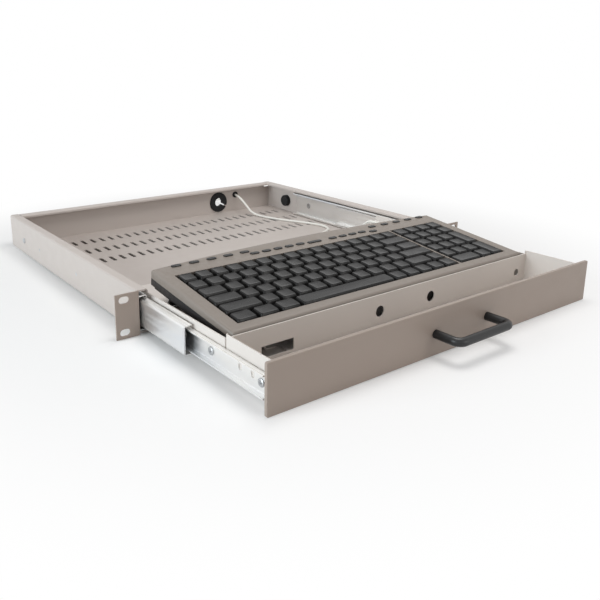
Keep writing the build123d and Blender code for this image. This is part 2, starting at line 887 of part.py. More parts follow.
def hot_key_slots(grow, bottom, top):
    plans = [Pos(x, y) * SlotOverall(length + 2 * grow, hot_key_width + 2 * grow) for x, y, length in hot_key_places()]
    return [upright(plan, bottom, top - bottom) for plan in plans]


def keyboard_lid():
    height = keyboard_rear_height + 5
    outer = upright(keyboard_plan(0), keyboard_skirt_z, height) & lid_wedge(0)
    rims = outer.faces().sort_by(Axis.Z)[-1].edges()
    outer = fillet(rims, keyboard_edge_radius)
    inner = upright(keyboard_plan(keyboard_wall), keyboard_skirt_z - 1, height) & lid_wedge(keyboard_wall)
    lid = outer - inner
    edge = well_wall
    for x0, x1, y0, y1 in key_wells():
        lid += block(x0 - edge, x1 + edge, y0 - edge, y1 + edge, key_plate_top, height) & lid_wedge(keyboard_wall / 2)
    for x0, x1, y0, y1 in key_wells():
        lid -= block(x0, x1, y0, y1, keyboard_wall, height)
    for slot in hot_key_slots(hot_key_play, keyboard_wall, height):
        lid -= slot
    for x, y in shell_screw_places():
        boss_top = lid_height(y) - keyboard_wall + 0.2
        lid += rod_z(x, y, shell_screw_boss_radius, base_floor + base_play, boss_top)
        lid -= rod_z(x, y, shell_screw_radius, base_floor - 1, base_floor + 8)
    lid -= rod_y(relief_x, relief_z, relief_radius, relief_y() - 6, relief_y())
    lid -= rod_y(relief_x, relief_z, relief_flange_radius, relief_y(), relief_y() + 5)
    return raise_keyboard(lid)


def shell_screw_places():
    y_rear = keyboard_end_y - 11
    side_x = keyboard_width / 2 - 7.5
    return [(-140.0, y_rear), (118.0, y_rear), (side_x, 8.0), (-side_x, 60.0), (side_x, 90.0)]


def keyboard_base():
    """The lower shell: a floor, a low wall inside the lid's skirt and two foot pockets."""
    inset = keyboard_wall + base_play
    outer = upright(keyboard_plan(inset), 0, base_wall_height)
    outer = fillet(outer.faces().sort_by(Axis.Z)[0].edges(), 1.2)
    inner = upright(keyboard_plan(inset + 1.6), base_floor, base_wall_height)
    base = outer - inner
    for side in (-1, 1):
        x = side * foot_x
        half = foot_width / 2 + foot_pocket_play
        y0 = foot_pivot_y - foot_thickness / 2 - foot_pocket_play
        y1 = foot_pivot_y + foot_length + foot_thickness / 2 + foot_pocket_play
        wall = foot_pocket_wall + foot_pin_reach - foot_pocket_play
        base += block(x - half - wall, x + half + wall, y0 - foot_pocket_wall, y1 + foot_pocket_wall / 2,
                      0.5, foot_pocket_depth + foot_pocket_wall)
        base -= block(x - half, x + half, y0, y1, -1, foot_pocket_depth)
        reach = foot_width / 2 + foot_pin_reach + 0.2
        base -= rod_x(foot_pivot_y, foot_pivot_z, foot_pin_radius + foot_pin_play, x - reach, x + reach)
    for x, y in shell_screw_places():
        base -= rod_z(x, y, shell_screw_radius, -1, base_floor + 1)
        base -= rod_z(x, y, shell_screw_head_radius, -1, shell_screw_head)
    x_strip = foot_strip_x
    for side in (-1, 1):
        base -= rod_x(0, 0, foot_strip_radius, side * x_strip - foot_strip_length / 2,
                      side * x_strip + foot_strip_length / 2)
    for rib in base_ribs():
        base += rib
    return raise_keyboard(base)


def base_ribs():
    """Ribs of the lower shell: two carry the key plate, four the membrane."""
    front = key_plate_front_y + 0.5
    rear = key_plate_rear_y - 0.5
    half = keyboard_width / 2 - 46
    ribs = [block(-half, half, front, front + rib_width, base_floor - 0.5, key_plate_z)]
    ribs.append(block(-half, half, rear - rib_width, rear, base_floor - 0.5, key_plate_z))
    for number in range(ribs_in_row):
        x = (number - (ribs_in_row - 1) / 2) * rib_pitch
        ribs.append(block(x, x + rib_width, membrane_front_y + 4, membrane_rear_y - 4, base_floor - 0.5, membrane_z))
    return ribs


def foot_strips():
    """Round rubber strips under the front edge, which the keyboard rocks on, and two rear pads."""
    shapes = []
    for side in (-1, 1):
        x = side * foot_strip_x
        shapes.append(rod_x(0, 0, foot_strip_radius, x - foot_strip_length / 2, x + foot_strip_length / 2))
        pad = block(x - pad_length / 2, x + pad_length / 2, pad_y, pad_y + pad_width, -foot_strip_radius, 0)
        shapes.append(pad)
    return group(raise_keyboard(shape) for shape in shapes)


def shell_screws():
    shapes = []
    for x, y in shell_screw_places():
        shank = rod_z(x, y, shell_screw_radius, 0.3, base_floor + 7)
        head = rod_z(x, y, shell_screw_head_radius, 0.1, shell_screw_head)
        shapes.append(raise_keyboard(shank + head))
    return group(shapes)


def flip_foot(side):
    """A flat foot with a round hinge pin; it stands at rest and folds up into its pocket."""
    x = side * foot_x
    bar = SlotCenterToCenter(foot_length, foot_thickness)
    bar = Pos(foot_length / 2, 0) * bar
    leaf = along_x(bar, x - foot_width / 2, foot_width)
    leaf += rod_x(0, 0, foot_pin_radius, x - foot_width / 2 - foot_pin_reach, x + foot_width / 2 + foot_pin_reach)
    leaf -= block(x - foot_width / 5, x + foot_width / 5, 5, 12, -foot_thickness, -foot_thickness / 5)
    leaned = Rot(-foot_lean - tilt_angle, 0, 0) * leaf
    return raise_keyboard(Pos(0, foot_pivot_y, foot_pivot_z) * leaned)


def key_row_cells():
    """Each row from the front: widths in key units, and the row's place."""
    return {
        "keys_bottom_row": (0, [1.25, 1.25, 1.25, -6.25, 1, 1, 1, 1, 1]),
        "space_bar": (0, [-1.25, -1.25, -1.25, 6.25]),
        "keys_shift_row": (1, [2.25] + [1] * 10 + [1.75, 1]),
        "keys_home_row": (2, [1.75] + [1] * 11 + [2.25]),
        "keys_upper_row": (3, [1.5] + [1] * 12 + [1.5]),
        "keys_number_row": (4, [1] * 13 + [2]),
        "keys_function_row": (5, [15 / 16] * 16),
    }


def pad_cells():
    """Number pad keys: column, row, columns wide, rows deep."""
    cells = [(0, 0, 2, 1), (2, 0, 1, 1), (3, 0, 1, 2), (3, 2, 1, 2)]
    cells += [(column, row, 1, 1) for row in (1, 2, 3) for column in range(3)]
    return cells + [(column, row, 1, 1) for row in (4, 5) for column in range(4)]


def key_cap(x0, x1, y0, y1):
    """A tapered cap with a square stem, its top level with the lid's slope."""
    x = (x0 + x1) / 2
    y = (y0 + y1) / 2
    width = x1 - x0 - key_gap
    depth = y1 - y0 - key_gap
    top = lid_height(y) + key_proud
    bottom = top - key_cap_height
    foot = Pos(x, y, bottom) * Rectangle(width, depth)
    crown = Pos(x, y + key_taper * 0.2, top) * Rectangle(width - 2 * key_taper, depth - 2 * key_taper * 0.8)
    cap = loft([foot, crown], ruled=True)
    half = key_stem / 2
    stem_low = key_plate_z - stem_guide
    return cap + block(x - half, x + half, y - half, y + half, stem_low, bottom + 0.5)


def key_row(name):
    row, widths = key_row_cells()[name]
    y0 = key_block_front_y + row * row_pitch
    x = main_left_x
    caps = []
    for width in widths:
        if width > 0:
            caps.append(raise_keyboard(key_cap(x, x + width * key_unit, y0, y0 + row_pitch)))
        x += abs(width) * key_unit
    return group(caps)


def keys_number_pad():
    caps = []
    for column, row, wide, deep in pad_cells():
        x0 = pad_left_x + column * key_unit
        y0 = key_block_front_y + row * row_pitch
        caps.append(raise_keyboard(key_cap(x0, x0 + wide * key_unit, y0, y0 + deep * row_pitch)))
    return group(caps)


def key_centres():
    centres = []
    for row, widths in key_row_cells().values():
        x = main_left_x
        for width in widths:
            if width > 0:
                centres.append((x + width * key_unit / 2, key_block_front_y + (row + 0.5) * row_pitch))
            x += abs(width) * key_unit
    for column, row, wide, deep in pad_cells():
        x = pad_left_x + (column + wide / 2) * key_unit
        centres.append((x, key_block_front_y + (row + deep / 2) * row_pitch))
    return centres


def key_plate():
    """The plate that guides the key stems."""
    hole = key_stem + 2 * key_stem_play
    middle_y = (key_plate_front_y + key_plate_rear_y) / 2
    plan = Pos(0, middle_y) * Rectangle(key_plate_width, key_plate_rear_y - key_plate_front_y)
    plan -= Sketch() + [Pos(x, y) * Rectangle(hole, hole) for x, y in key_centres()]
    return raise_keyboard(upright(plan, key_plate_z, key_plate_sheet))


def key_membrane():
    """The contact membrane under the rubber sheet."""
    return raise_keyboard(membrane_layer(membrane_z, membrane_sheet))


def rubber_dome_sheet():
    """The sheet whose domes push the keys up; the domes themselves are left out."""
    return raise_keyboard(membrane_layer(membrane_z + membrane_sheet, rubber_sheet))


def membrane_layer(bottom, thickness):
    half = key_plate_width / 2
    return block(-half, half, membrane_front_y, membrane_rear_y, bottom, bottom + thickness)


def keyboard_board():
    """The small circuit board at the rear, with its one chip."""
    x0 = board_x - board_length / 2
    y0 = board_y - board_width / 2
    board_top = base_floor + board_sheet
    board = block(x0, x0 + board_length, y0, y0 + board_width, base_floor, board_top)
    chip = block(board_x - 5, board_x + 5, board_y - 4, board_y + 4, board_top, board_top + chip_height)
    return raise_keyboard(board + chip)


def hot_keys():
    shapes = []
    for x, y, length in hot_key_places():
        top = lid_height(y) + hot_key_proud
        cap = upright(Pos(x, y) * SlotOverall(length, hot_key_width), top - 4, 4)
        cap = fillet(cap.edges().group_by(Axis.Z)[-1], 0.6)
        shapes.append(raise_keyboard(cap))
    return group(shapes)


def strain_relief():
    """A tapered relief where the cord leaves the keyboard's rear."""
    y0 = relief_y()
    relief = rod_y(relief_x, relief_z, relief_radius, y0 - 4, y0)
    relief += rod_y(relief_x, relief_z, relief_flange_radius, y0, y0 + relief_flange)
    cone = Cone(relief_radius, cord_radius + 0.7, relief_length)
    relief += Pos(relief_x, y0 + relief_flange + relief_length / 2, relief_z) * Rot(-90, 0, 0) * cone
    bore_end = y0 + relief_flange + relief_length + 1
    relief -= rod_y(relief_x, relief_z, cord_radius + cord_play, y0 + relief_flange, bore_end)
    return raise_keyboard(relief)


def relief_y():
    """Y of the strain relief's seat, a little inside the keyboard's rear face."""
    half = keyboard_width / 2
    radius = (half**2 + keyboard_rear_bulge**2) / (2 * keyboard_rear_bulge)
    centre = keyboard_end_y + keyboard_rear_bulge - radius
    return centre + (radius**2 - relief_x**2) ** 0.5 - relief_seat


# Cord. The two runs meet inside the clip on the drawer, because each one bends with
# its own joint.


def raised_point(x, y, z):
    """A point of the keyboard's own frame, where it is at rest."""
    point = Vector(0, y, z).rotate(Axis.X, tilt_angle)
    return (x, tilt_line_y + point.Y, tilt_line_z + point.Z)


def chassis_run_points():
    """From the coil behind the rear wall, through the bush, over the floor to the clip."""
    ground_z = cord_radius + cord_play
    return [
        (coil_x + coil_lead_radius, coil_y + coil_lead, coil_lead_z),
        (118.6, 472.0, ground_z),
        (132.0, 486.0, ground_z),
        (151.0, 484.0, ground_z),
        (162.5, 465.0, 3.0),
        (158.0, 441.0, 9.0),
        (150.0, 420.0, 22.0),
        (cord_hole_x, 403.0, cord_hole_z),
        (cord_hole_x, 371.0, cord_hole_z),
        (147.4, 351.0, 17.5),
        (148.5, 332.0, 4.6),
        (154.0, 306.0, floor_cord_z),
        (166.0, 272.0, floor_cord_z),
        (183.0, 240.0, floor_cord_z),
        (194.0, 211.0, floor_cord_z),
        (186.0, 187.0, floor_cord_z),
        (163.0, 177.0, floor_cord_z),
        (141.0, 167.0, floor_cord_z),
        (130.5, 148.0, 5.4),
        (129.6, 129.0, 10.8),
        (clip_x, 112.5, tray_cord_z),
        (clip_x, clip_y, tray_cord_z),
    ]


def keyboard_run_points():
    """From the clip, up to the strain relief at the keyboard's rear."""
    relief_end = relief_y() + relief_flange + relief_length
    return [
        (clip_x, clip_y, tray_cord_z),
        (clip_x, 87.0, tray_cord_z),
        (130.5, 75.5, 16.8),
        (130.8, 69.0, 29.0),
        (131.0, 64.4, 39.6),
        (130.6, 54.6, 49.6),
        raised_point(relief_x, relief_end + 4, relief_z),
        raised_point(relief_x, relief_y() + relief_flange, relief_z),
    ]


def bend_radii(points):
    """The largest arc that each corner of a route has room for."""
    runs = [Vector(*end) - Vector(*start) for start, end in zip(points, points[1:])]
    radii = []
    for run, next_run in zip(runs, runs[1:]):
        half_turn = radians(run.get_angle(next_run) / 2)
        radii.append(0.45 * min(run.length, next_run.length) / tan(half_turn))
    return radii


def cord_tube(points):
    radii = bend_radii(points)
    path = FilletPolyline(*points, radius=radii)
    start = Plane(origin=points[0], z_dir=Vector(*points[1]) - Vector(*points[0]))
    print(f"cord run {path.length:.1f} mm, bend radii {[round(radius, 1) for radius in radii]}")
    return sweep(start * Circle(cord_radius), path=path)


def cord_chassis_run():
    return cord_tube(chassis_run_points())


def cord_keyboard_run():
    return cord_tube(keyboard_run_points())


def coil_ring(growth):
    """The wound-up cord as one ring, its section grown by growth."""
    section = RectangleRounded(coil_width + 2 * growth, coil_height + 2 * growth, cord_radius + growth)
    section = Plane.XZ * Pos(coil_mid_radius, coil_bottom + coil_height / 2) * section
    return Pos(coil_x, coil_y, 0) * revolve(section, Axis.Z)


def tie_space():
    near = coil_y - coil_mid_radius - coil_width
    return block(coil_x - tie_width / 2, coil_x + tie_width / 2, near, coil_y, -1, coil_height + 2)


def cord_coil():
    """One solid for the wound-up cord, with a short lead at each end of it."""
    coil = coil_ring(0)
    lead_end = coil_y + coil_lead
    coil += rod_y(coil_x + coil_lead_radius, coil_lead_z, cord_radius, coil_y, lead_end)
    return coil + rod_y(coil_x - coil_lead_radius, plug_radius + cord_play, cord_radius, coil_y, lead_end)


def cord_tie():
    return (coil_ring(tie_sheet) & tie_space()) - coil_ring(0)


def cord_plug():
    """A round six-pin plug at the end of the cord."""
    x = coil_x - coil_lead_radius
    z = plug_radius + cord_play
    y0 = coil_y + coil_lead
    neck_end = y0 + plug_neck_length
    body_end = neck_end + plug_body_length
    plug = rod_y(x, z, cord_radius + 1.2, y0, neck_end)
    body = rod_y(x, z, plug_radius, neck_end, body_end)
    plug += fillet(body.edges().filter_by(GeomType.CIRCLE), 1.5)
    return plug + rod_y(x, z, plug_shell_radius - 1.6, body_end, body_end + plug_shell_length - 4)


def plug_shell():
    """The plug's metal sleeve and its six pins."""
    x = coil_x - coil_lead_radius
    z = plug_radius + cord_play
    y0 = coil_y + coil_lead + plug_neck_length + plug_body_length
    sleeve = rod_y(x, z, plug_shell_radius, y0, y0 + plug_shell_length)
    sleeve -= rod_y(x, z, plug_shell_radius - plug_shell_sheet, y0 - 1, y0 + plug_shell_length + 1)
    insert_end = y0 + plug_shell_length - 4
    pins = [
        rod_y(x + 2 * cos(angle * pi / 3), z + 2 * sin(angle * pi / 3), 0.4, insert_end, insert_end + 3)
        for angle in range(6)
    ]
    return group([sleeve, *pins])


sub_parts = {
    "chassis_tray": chassis_tray,
    "cable_grommet": cable_grommet,
    "cord_bush": cord_bush,
    "rubber_buffers": buffers,
    "buffer_screws": buffer_screws,
    "slide_rivets": slide_rivets,
    "drawer_tray": drawer_tray,
    "front_frame": front_frame,
    "front_panel": front_panel,
    "panel_nuts": panel_nuts,
    "handle": handle,
    "handle_screws": handle_screws,
    "handle_washers": handle_washers,
    "left_keyboard_rail": left_keyboard_rail,
    "right_keyboard_rail": lambda: to_right(left_keyboard_rail()),
    "floor_rivets": floor_rivets,
    "tray_screws": tray_screws,
    "tray_nuts": tray_nuts,
    "cord_clip": cord_clip,
    "clip_rivet": clip_rivet,
    "keyboard_lid": keyboard_lid,
    "keyboard_base": keyboard_base,
    "foot_strips": foot_strips,
    "shell_screws": shell_screws,
    "left_flip_foot": lambda: flip_foot(-1),
    "right_flip_foot": lambda: flip_foot(1),
    "key_plate": key_plate,
    "key_membrane": key_membrane,
    "rubber_dome_sheet": rubber_dome_sheet,
    "keyboard_board": keyboard_board,
    "keys_number_pad": keys_number_pad,
    "hot_keys": hot_keys,
    "strain_relief": strain_relief,
    "cord_chassis_run": cord_chassis_run,
    "cord_keyboard_run": cord_keyboard_run,
    "cord_coil": cord_coil,
    "cord_tie": cord_tie,
    "cord_plug": cord_plug,
    "plug_shell": plug_shell,
}
slide_parts = {
    "slide_outer": slide_outer,
    "slide_middle": slide_middle,
    "slide_inner": slide_inner,
    "outer_cage": outer_cage,
    "outer_balls": outer_balls,
    "inner_cage": inner_cage,
    "inner_balls": inner_balls,
}

os.makedirs("parts", exist_ok=True)
to_origin = Pos(0, 0, -unit_height / 2)
for node, make in sub_parts.items():
    export_step(to_origin * make(), f"parts/{node}.step")
for name, make in slide_parts.items():
    left_part = to_origin * make()
    export_step(left_part, f"parts/left_{name}.step")
    export_step(to_right(left_part), f"parts/right_{name}.step")
for row_name in key_row_cells():
    export_step(to_origin * key_row(row_name), f"parts/{row_name}.step")
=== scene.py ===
"""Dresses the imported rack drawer: finishes, key caps, screws and the keyboard's cord."""

import json
import logging
import math
from dataclasses import dataclass, field
from enum import Enum
from typing import Iterable, Protocol

import bmesh
import bpy
from mathutils import Matrix, Vector


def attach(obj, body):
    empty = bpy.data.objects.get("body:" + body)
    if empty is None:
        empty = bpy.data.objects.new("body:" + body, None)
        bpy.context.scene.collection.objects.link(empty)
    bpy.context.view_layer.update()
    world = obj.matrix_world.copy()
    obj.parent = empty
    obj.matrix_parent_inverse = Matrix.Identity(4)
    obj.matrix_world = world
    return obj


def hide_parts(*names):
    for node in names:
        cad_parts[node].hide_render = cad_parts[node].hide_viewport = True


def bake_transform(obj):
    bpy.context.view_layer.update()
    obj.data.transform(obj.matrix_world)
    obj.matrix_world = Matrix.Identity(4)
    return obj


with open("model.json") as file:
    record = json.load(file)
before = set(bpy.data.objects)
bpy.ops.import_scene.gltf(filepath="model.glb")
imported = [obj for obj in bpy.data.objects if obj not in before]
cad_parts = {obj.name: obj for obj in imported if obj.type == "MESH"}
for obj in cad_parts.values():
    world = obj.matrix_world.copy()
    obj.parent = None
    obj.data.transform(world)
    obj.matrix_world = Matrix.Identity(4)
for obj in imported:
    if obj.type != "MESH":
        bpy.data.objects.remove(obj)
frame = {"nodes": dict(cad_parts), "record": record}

log = logging.getLogger("rack_drawer")
Colour = tuple[float, float, float]
Point = tuple[float, float, float]
Cell = tuple[float, float, float, float]

MM = 0.001

# The frame's origin lies half a rack unit above the chassis underside, in millimetres.
HALF_UNIT = 21.85


def linear(red: int, green: int, blue: int) -> Colour:
    """Turns a colour as it is seen on a screen into the linear values that a shader takes.

    Args:
        red, green, blue: the colour's parts, from 0 to 255.

    Returns:
        The three linear parts, from 0 to 1.
    """
    parts = [part / 255 for part in (red, green, blue)]
    return tuple(part / 12.92 if part <= 0.04045 else ((part + 0.055) / 1.055) ** 2.4 for part in parts)


def shade(colour: Colour, factor: float) -> tuple[float, float, float, float]:
    """Makes a colour lighter or darker, with full alpha.

    Args:
        colour: linear colour.
        factor: what each part is multiplied by.

    Returns:
        The colour with its alpha, for a colour socket.
    """
    return (*[min(part * factor, 1.0) for part in colour], 1.0)


def place(x: float, y: float, z: float) -> Vector:
    """Turns millimetres above the chassis underside into a point of the frame, in metres."""
    return Vector((x * MM, y * MM, (z - HALF_UNIT) * MM))


def added(name: str, data: bpy.types.ID) -> bpy.types.Object:
    """Makes an object of its data and adds it to the scene.

    Args:
        name: the object's name.
        data: its mesh, curve, lamp or camera.

    Returns:
        The new object.
    """
    made = bpy.data.objects.new(name, data)
    bpy.context.scene.collection.objects.link(made)
    return made


def sheet(name: str, x0: float, x1: float, y0: float, y1: float, z: float) -> bpy.types.Object:
    """Makes a flat rectangle in the scene.

    Args:
        name: the object's name.
        x0, x1, y0, y1: its sides, in metres.
        z: its height, in metres.

    Returns:
        The new object.
    """
    mesh = bpy.data.meshes.new(name)
    mesh.from_pydata([(x0, y0, z), (x1, y0, z), (x1, y1, z), (x0, y1, z)], [], [(0, 1, 2, 3)])
    return added(name, mesh)


class Slot(Enum):
    """The record's material slots."""

    PANEL_PAINT = "panel_paint"
    LIGHT_PAINT = "light_paint"
    ZINC = "zinc"
    CAGE_STEEL = "cage_steel"
    BALL_STEEL = "ball_steel"
    SCREWS = "screws"
    BLACK_RUBBER = "black_rubber"
    BLACK_HANDLE = "black_handle"
    CLIP_PLASTIC = "clip_plastic"
    KEYBOARD_SHELL = "keyboard_shell"
    KEYBOARD_BASE = "keyboard_base"
    KEY_CAPS = "key_caps"
    KEY_PLATE = "key_plate"
    MEMBRANE = "membrane"
    DOME_RUBBER = "dome_rubber"
    CIRCUIT_BOARD = "circuit_board"
    CORD_SHEATH = "cord_sheath"
    TIE = "tie"
    PLUG_METAL = "plug_metal"


class ShaderTree:
    """One material's node tree, with short methods for the patterns that the finishes share."""

    def __init__(self, name: str) -> None:
        """Starts a material.

        Args:
            name: the material's name.
        """
        self.material = bpy.data.materials.new(name)
        self.material.use_nodes = True
        self.nodes = self.material.node_tree.nodes
        self.links = self.material.node_tree.links
        self.shader = self.nodes["Principled BSDF"]

    def base(self, roughness: float, metallic: float = 0.0, specular: float = 0.5) -> None:
        """Sets what is even over the surface.

        Args:
            roughness: the shader's roughness.
            metallic: 1 for bare metal.
            specular: the shader's specular level.
        """
        self.shader.inputs["Roughness"].default_value = roughness
        self.shader.inputs["Metallic"].default_value = metallic
        self.shader.inputs["Specular IOR Level"].default_value = specular

    def noise(self, per_metre: float, detail: float, stretch: Point = (1, 1, 1)) -> bpy.types.NodeSocket:
        """Makes a noise pattern in object space.

        Args:
            per_metre: how often the pattern repeats in a metre.
            detail: how many finer layers it has.
            stretch: scale along each axis.

        Returns:
            The pattern's value, from 0 to 1.
        """
        space = self.nodes.new("ShaderNodeTexCoord")
        mapping = self.nodes.new("ShaderNodeMapping")
        mapping.inputs["Scale"].default_value = stretch
        pattern = self.nodes.new("ShaderNodeTexNoise")
        pattern.inputs["Scale"].default_value = per_metre
        pattern.inputs["Detail"].default_value = detail
        self.links.new(space.outputs["Object"], mapping.inputs["Vector"])
        self.links.new(mapping.outputs["Vector"], pattern.inputs["Vector"])
        return pattern.outputs["Fac"]

    def colour(self, value: bpy.types.NodeSocket, stops: Iterable[tuple[float, tuple]]) -> None:
        """Colours the surface along a ramp.

        Args:
            value: the pattern that picks the place on the ramp.
            stops: places from 0 to 1 with their colours.
        """
        self.links.new(self._ramp(value, stops), self.shader.inputs["Base Color"])

    def roughness(self, value: bpy.types.NodeSocket, low: float, high: float) -> None:
        """Varies the roughness between two values with a pattern."""
        stops = [(0.3, (low,) * 3 + (1,)), (0.7, (high,) * 3 + (1,))]
        self.links.new(self._ramp(value, stops), self.shader.inputs["Roughness"])

    def bump(self, value: bpy.types.NodeSocket, strength: float, depth_mm: float) -> None:
        """Raises the surface with a pattern.

        Args:
            value: the pattern's height.
            strength: how much of it is felt.
            depth_mm: its depth in millimetres.
        """
        bump = self.nodes.new("ShaderNodeBump")
        bump.inputs["Strength"].default_value = strength
        bump.inputs["Distance"].default_value = depth_mm * MM
        self.links.new(value, bump.inputs["Height"])
        self.links.new(bump.outputs["Normal"], self.shader.inputs["Normal"])

    def beyond(self, way: Vector, distance: float) -> bpy.types.NodeSocket:
        """Splits the surface in two with a flat cut.

        Args:
            way: direction across the cut.
            distance: how far along that direction the cut lies, in metres from the origin.

        Returns:
            A value that is 1 beyond the cut and 0 before it.
        """
        space = self.nodes.new("ShaderNodeTexCoord")
        along = self.nodes.new("ShaderNodeVectorMath")
        along.operation = "DOT_PRODUCT"
        along.inputs[1].default_value = way
        above = self.nodes.new("ShaderNodeMath")
        above.operation = "GREATER_THAN"
        above.inputs[1].default_value = distance
        self.links.new(space.outputs["Object"], along.inputs[0])
        self.links.new(along.outputs["Value"], above.inputs[0])
        return above.outputs["Value"]

    def _ramp(self, value: bpy.types.NodeSocket, stops: Iterable[tuple[float, tuple]]) -> bpy.types.NodeSocket:
        """Makes a colour ramp.

        Args:
            value: the pattern that picks the place on the ramp.
            stops: places from 0 to 1 with their colours.

        Returns:
            The ramp's colour.
        """
        ramp = self.nodes.new("ShaderNodeValToRGB")
        for index, (position, colour) in enumerate(stops):
            element = ramp.color_ramp.elements[index] if index < 2 else ramp.color_ramp.elements.new(position)
            element.position = position
            element.color = colour
        self.links.new(value, ramp.inputs["Fac"])
        return ramp.outputs["Color"]


class Finish(Protocol):
    """What every finish can do."""

    def dress(self, tree: ShaderTree) -> None:
        """Gives a fresh shader tree this finish."""


def material_of(name: str, finish: Finish) -> bpy.types.Material:
    """Builds a finish's material.

    Args:
        name: the material's name.
        finish: the finish.

    Returns:
        The new material.
    """
    tree = ShaderTree(name)
    finish.dress(tree)
    return tree.material


@dataclass(frozen=True)
class PowderCoat:
    """Baked powder paint with a fine orange-peel skin."""

    colour: Colour
    roughness: float = 0.42
    grain_per_metre: float = 1500.0

    def dress(self, tree: ShaderTree) -> None:
        """Paints the surface, with faint cloudy shifts of tone.

        Args:
            tree: the material's shader tree.
        """
        tree.base(self.roughness, specular=0.4)
        tree.colour(tree.noise(9, 2), [(0.3, shade(self.colour, 0.965)), (0.7, shade(self.colour, 1.02))])
        self.skin(tree)

    def skin(self, tree: ShaderTree) -> None:
        """Adds the orange peel and the paint's uneven gloss."""
        tree.roughness(tree.noise(60, 4), self.roughness - 0.05, self.roughness + 0.08)
        tree.bump(tree.noise(self.grain_per_metre, 2), 0.16, 0.05)


@dataclass(frozen=True)
class FrontAndBody:
    """Powder paint in two tones: a darker one on the fronts and a lighter one on the body behind them."""

    front: PowderCoat
    body: Colour
    cut_mm: float

    def dress(self, tree: ShaderTree) -> None:
        """Paints the surface, with the body's tone behind the cut.

        Args:
            tree: the material's shader tree.
        """
        tree.base(self.front.roughness, specular=0.4)
        stops = [(0.0, shade(self.front.colour, 1.0)), (1.0, shade(self.body, 1.0))]
        tree.colour(tree.beyond(Vector((0, 1, 0)), self.cut_mm * MM), stops)
        self.front.skin(tree)


@dataclass(frozen=True)
class ZincPlate:
    """Bright zinc on rolled steel: drawn lengthways, with cool and warm passivation tints."""

    colour: Colour
    roughness: float = 0.4

    def dress(self, tree: ShaderTree) -> None:
        """Plates the surface.

        Args:
            tree: the material's shader tree.
        """
        tree.base(self.roughness, metallic=1.0)
        cool = (self.colour[0] * 0.9, self.colour[1] * 0.95, self.colour[2] * 1.03)
        stops = [(0.25, shade(cool, 0.92)), (0.5, shade(self.colour, 1.0)), (0.75, shade(self.colour, 1.08))]
        tree.colour(tree.noise(24, 3, (1, 0.25, 1)), stops)
        tree.roughness(tree.noise(90, 5, (4, 0.2, 4)), self.roughness - 0.05, self.roughness + 0.07)
        tree.bump(tree.noise(800, 2, (1, 0.03, 1)), 0.12, 0.03)


@dataclass(frozen=True)
class BareSteel:
    """Polished or plain steel, as on balls, cages and screws."""

    colour: Colour
    roughness: float = 0.25

    def dress(self, tree: ShaderTree) -> None:
        """Makes the surface bare metal with small scuffs.

        Args:
            tree: the material's shader tree.
        """
        tree.base(self.roughness, metallic=1.0)
        tree.colour(tree.noise(200, 3), [(0.3, shade(self.colour, 0.9)), (0.7, shade(self.colour, 1.05))])
        tree.roughness(tree.noise(500, 3), self.roughness - 0.06, self.roughness + 0.1)


@dataclass(frozen=True)
class MouldedPlastic:
    """Injection-moulded plastic with a spark-eroded grain."""

    colour: Colour
    roughness: float = 0.5
    grain_per_metre: float = 2600.0
    specular: float = 0.45

    def dress(self, tree: ShaderTree) -> None:
        """Colours the plastic and grains it.

        Args:
            tree: the material's shader tree.
        """
        tree.base(self.roughness, specular=self.specular)
        tree.colour(tree.noise(30, 3), [(0.3, shade(self.colour, 0.95)), (0.7, shade(self.colour, 1.04))])
        tree.roughness(tree.noise(220, 3), self.roughness - 0.06, self.roughness + 0.07)
        tree.bump(tree.noise(self.grain_per_metre, 1), 0.2, 0.04)


@dataclass(frozen=True)
class TwoPartShell:
    """The keyboard's shell: pale above a line along its side, dark below it."""

    upper: Colour
    lower: Colour
    line_mm: float

    def dress(self, tree: ShaderTree) -> None:
        """Colours the shell, with the line at its height over the keyboard's underside.

        Args:
            tree: the material's shader tree.
        """
        tree.base(0.48, specular=0.45)
        up = Vector((0, -math.sin(Keyboard.TILT), math.cos(Keyboard.TILT)))
        above = tree.beyond(up, place(*Keyboard.TILT_LINE).dot(up) + self.line_mm * MM)
        tree.colour(above, [(0.0, shade(self.lower, 1)), (1.0, shade(self.upper, 1))])
        tree.roughness(tree.noise(220, 3), 0.42, 0.56)
        tree.bump(tree.noise(2600, 1), 0.2, 0.04)


@dataclass(frozen=True)
class SoftRubber:
    """Matt black or pale rubber with a bloom."""

    colour: Colour

    def dress(self, tree: ShaderTree) -> None:
        """Colours the rubber and roughens it.

        Args:
            tree: the material's shader tree.
        """
        tree.base(0.75, specular=0.3)
        tree.colour(tree.noise(140, 4), [(0.3, shade(self.colour, 0.85)), (0.75, shade(self.colour, 1.4))])
        tree.bump(tree.noise(1200, 2), 0.2, 0.05)


@dataclass(frozen=True)
class PrintedFilm:
    """Film or board with printed tracks, shown as fine bands."""

    colour: Colour
    track: Colour

    def dress(self, tree: ShaderTree) -> None:
        """Prints the tracks.

        Args:
            tree: the material's shader tree.
        """
        tree.base(0.3)
        stops = [(0.48, shade(self.colour, 1.0)), (0.52, shade(self.track, 1.0))]
        tree.colour(tree.noise(260, 0, (1, 0.15, 1)), stops)


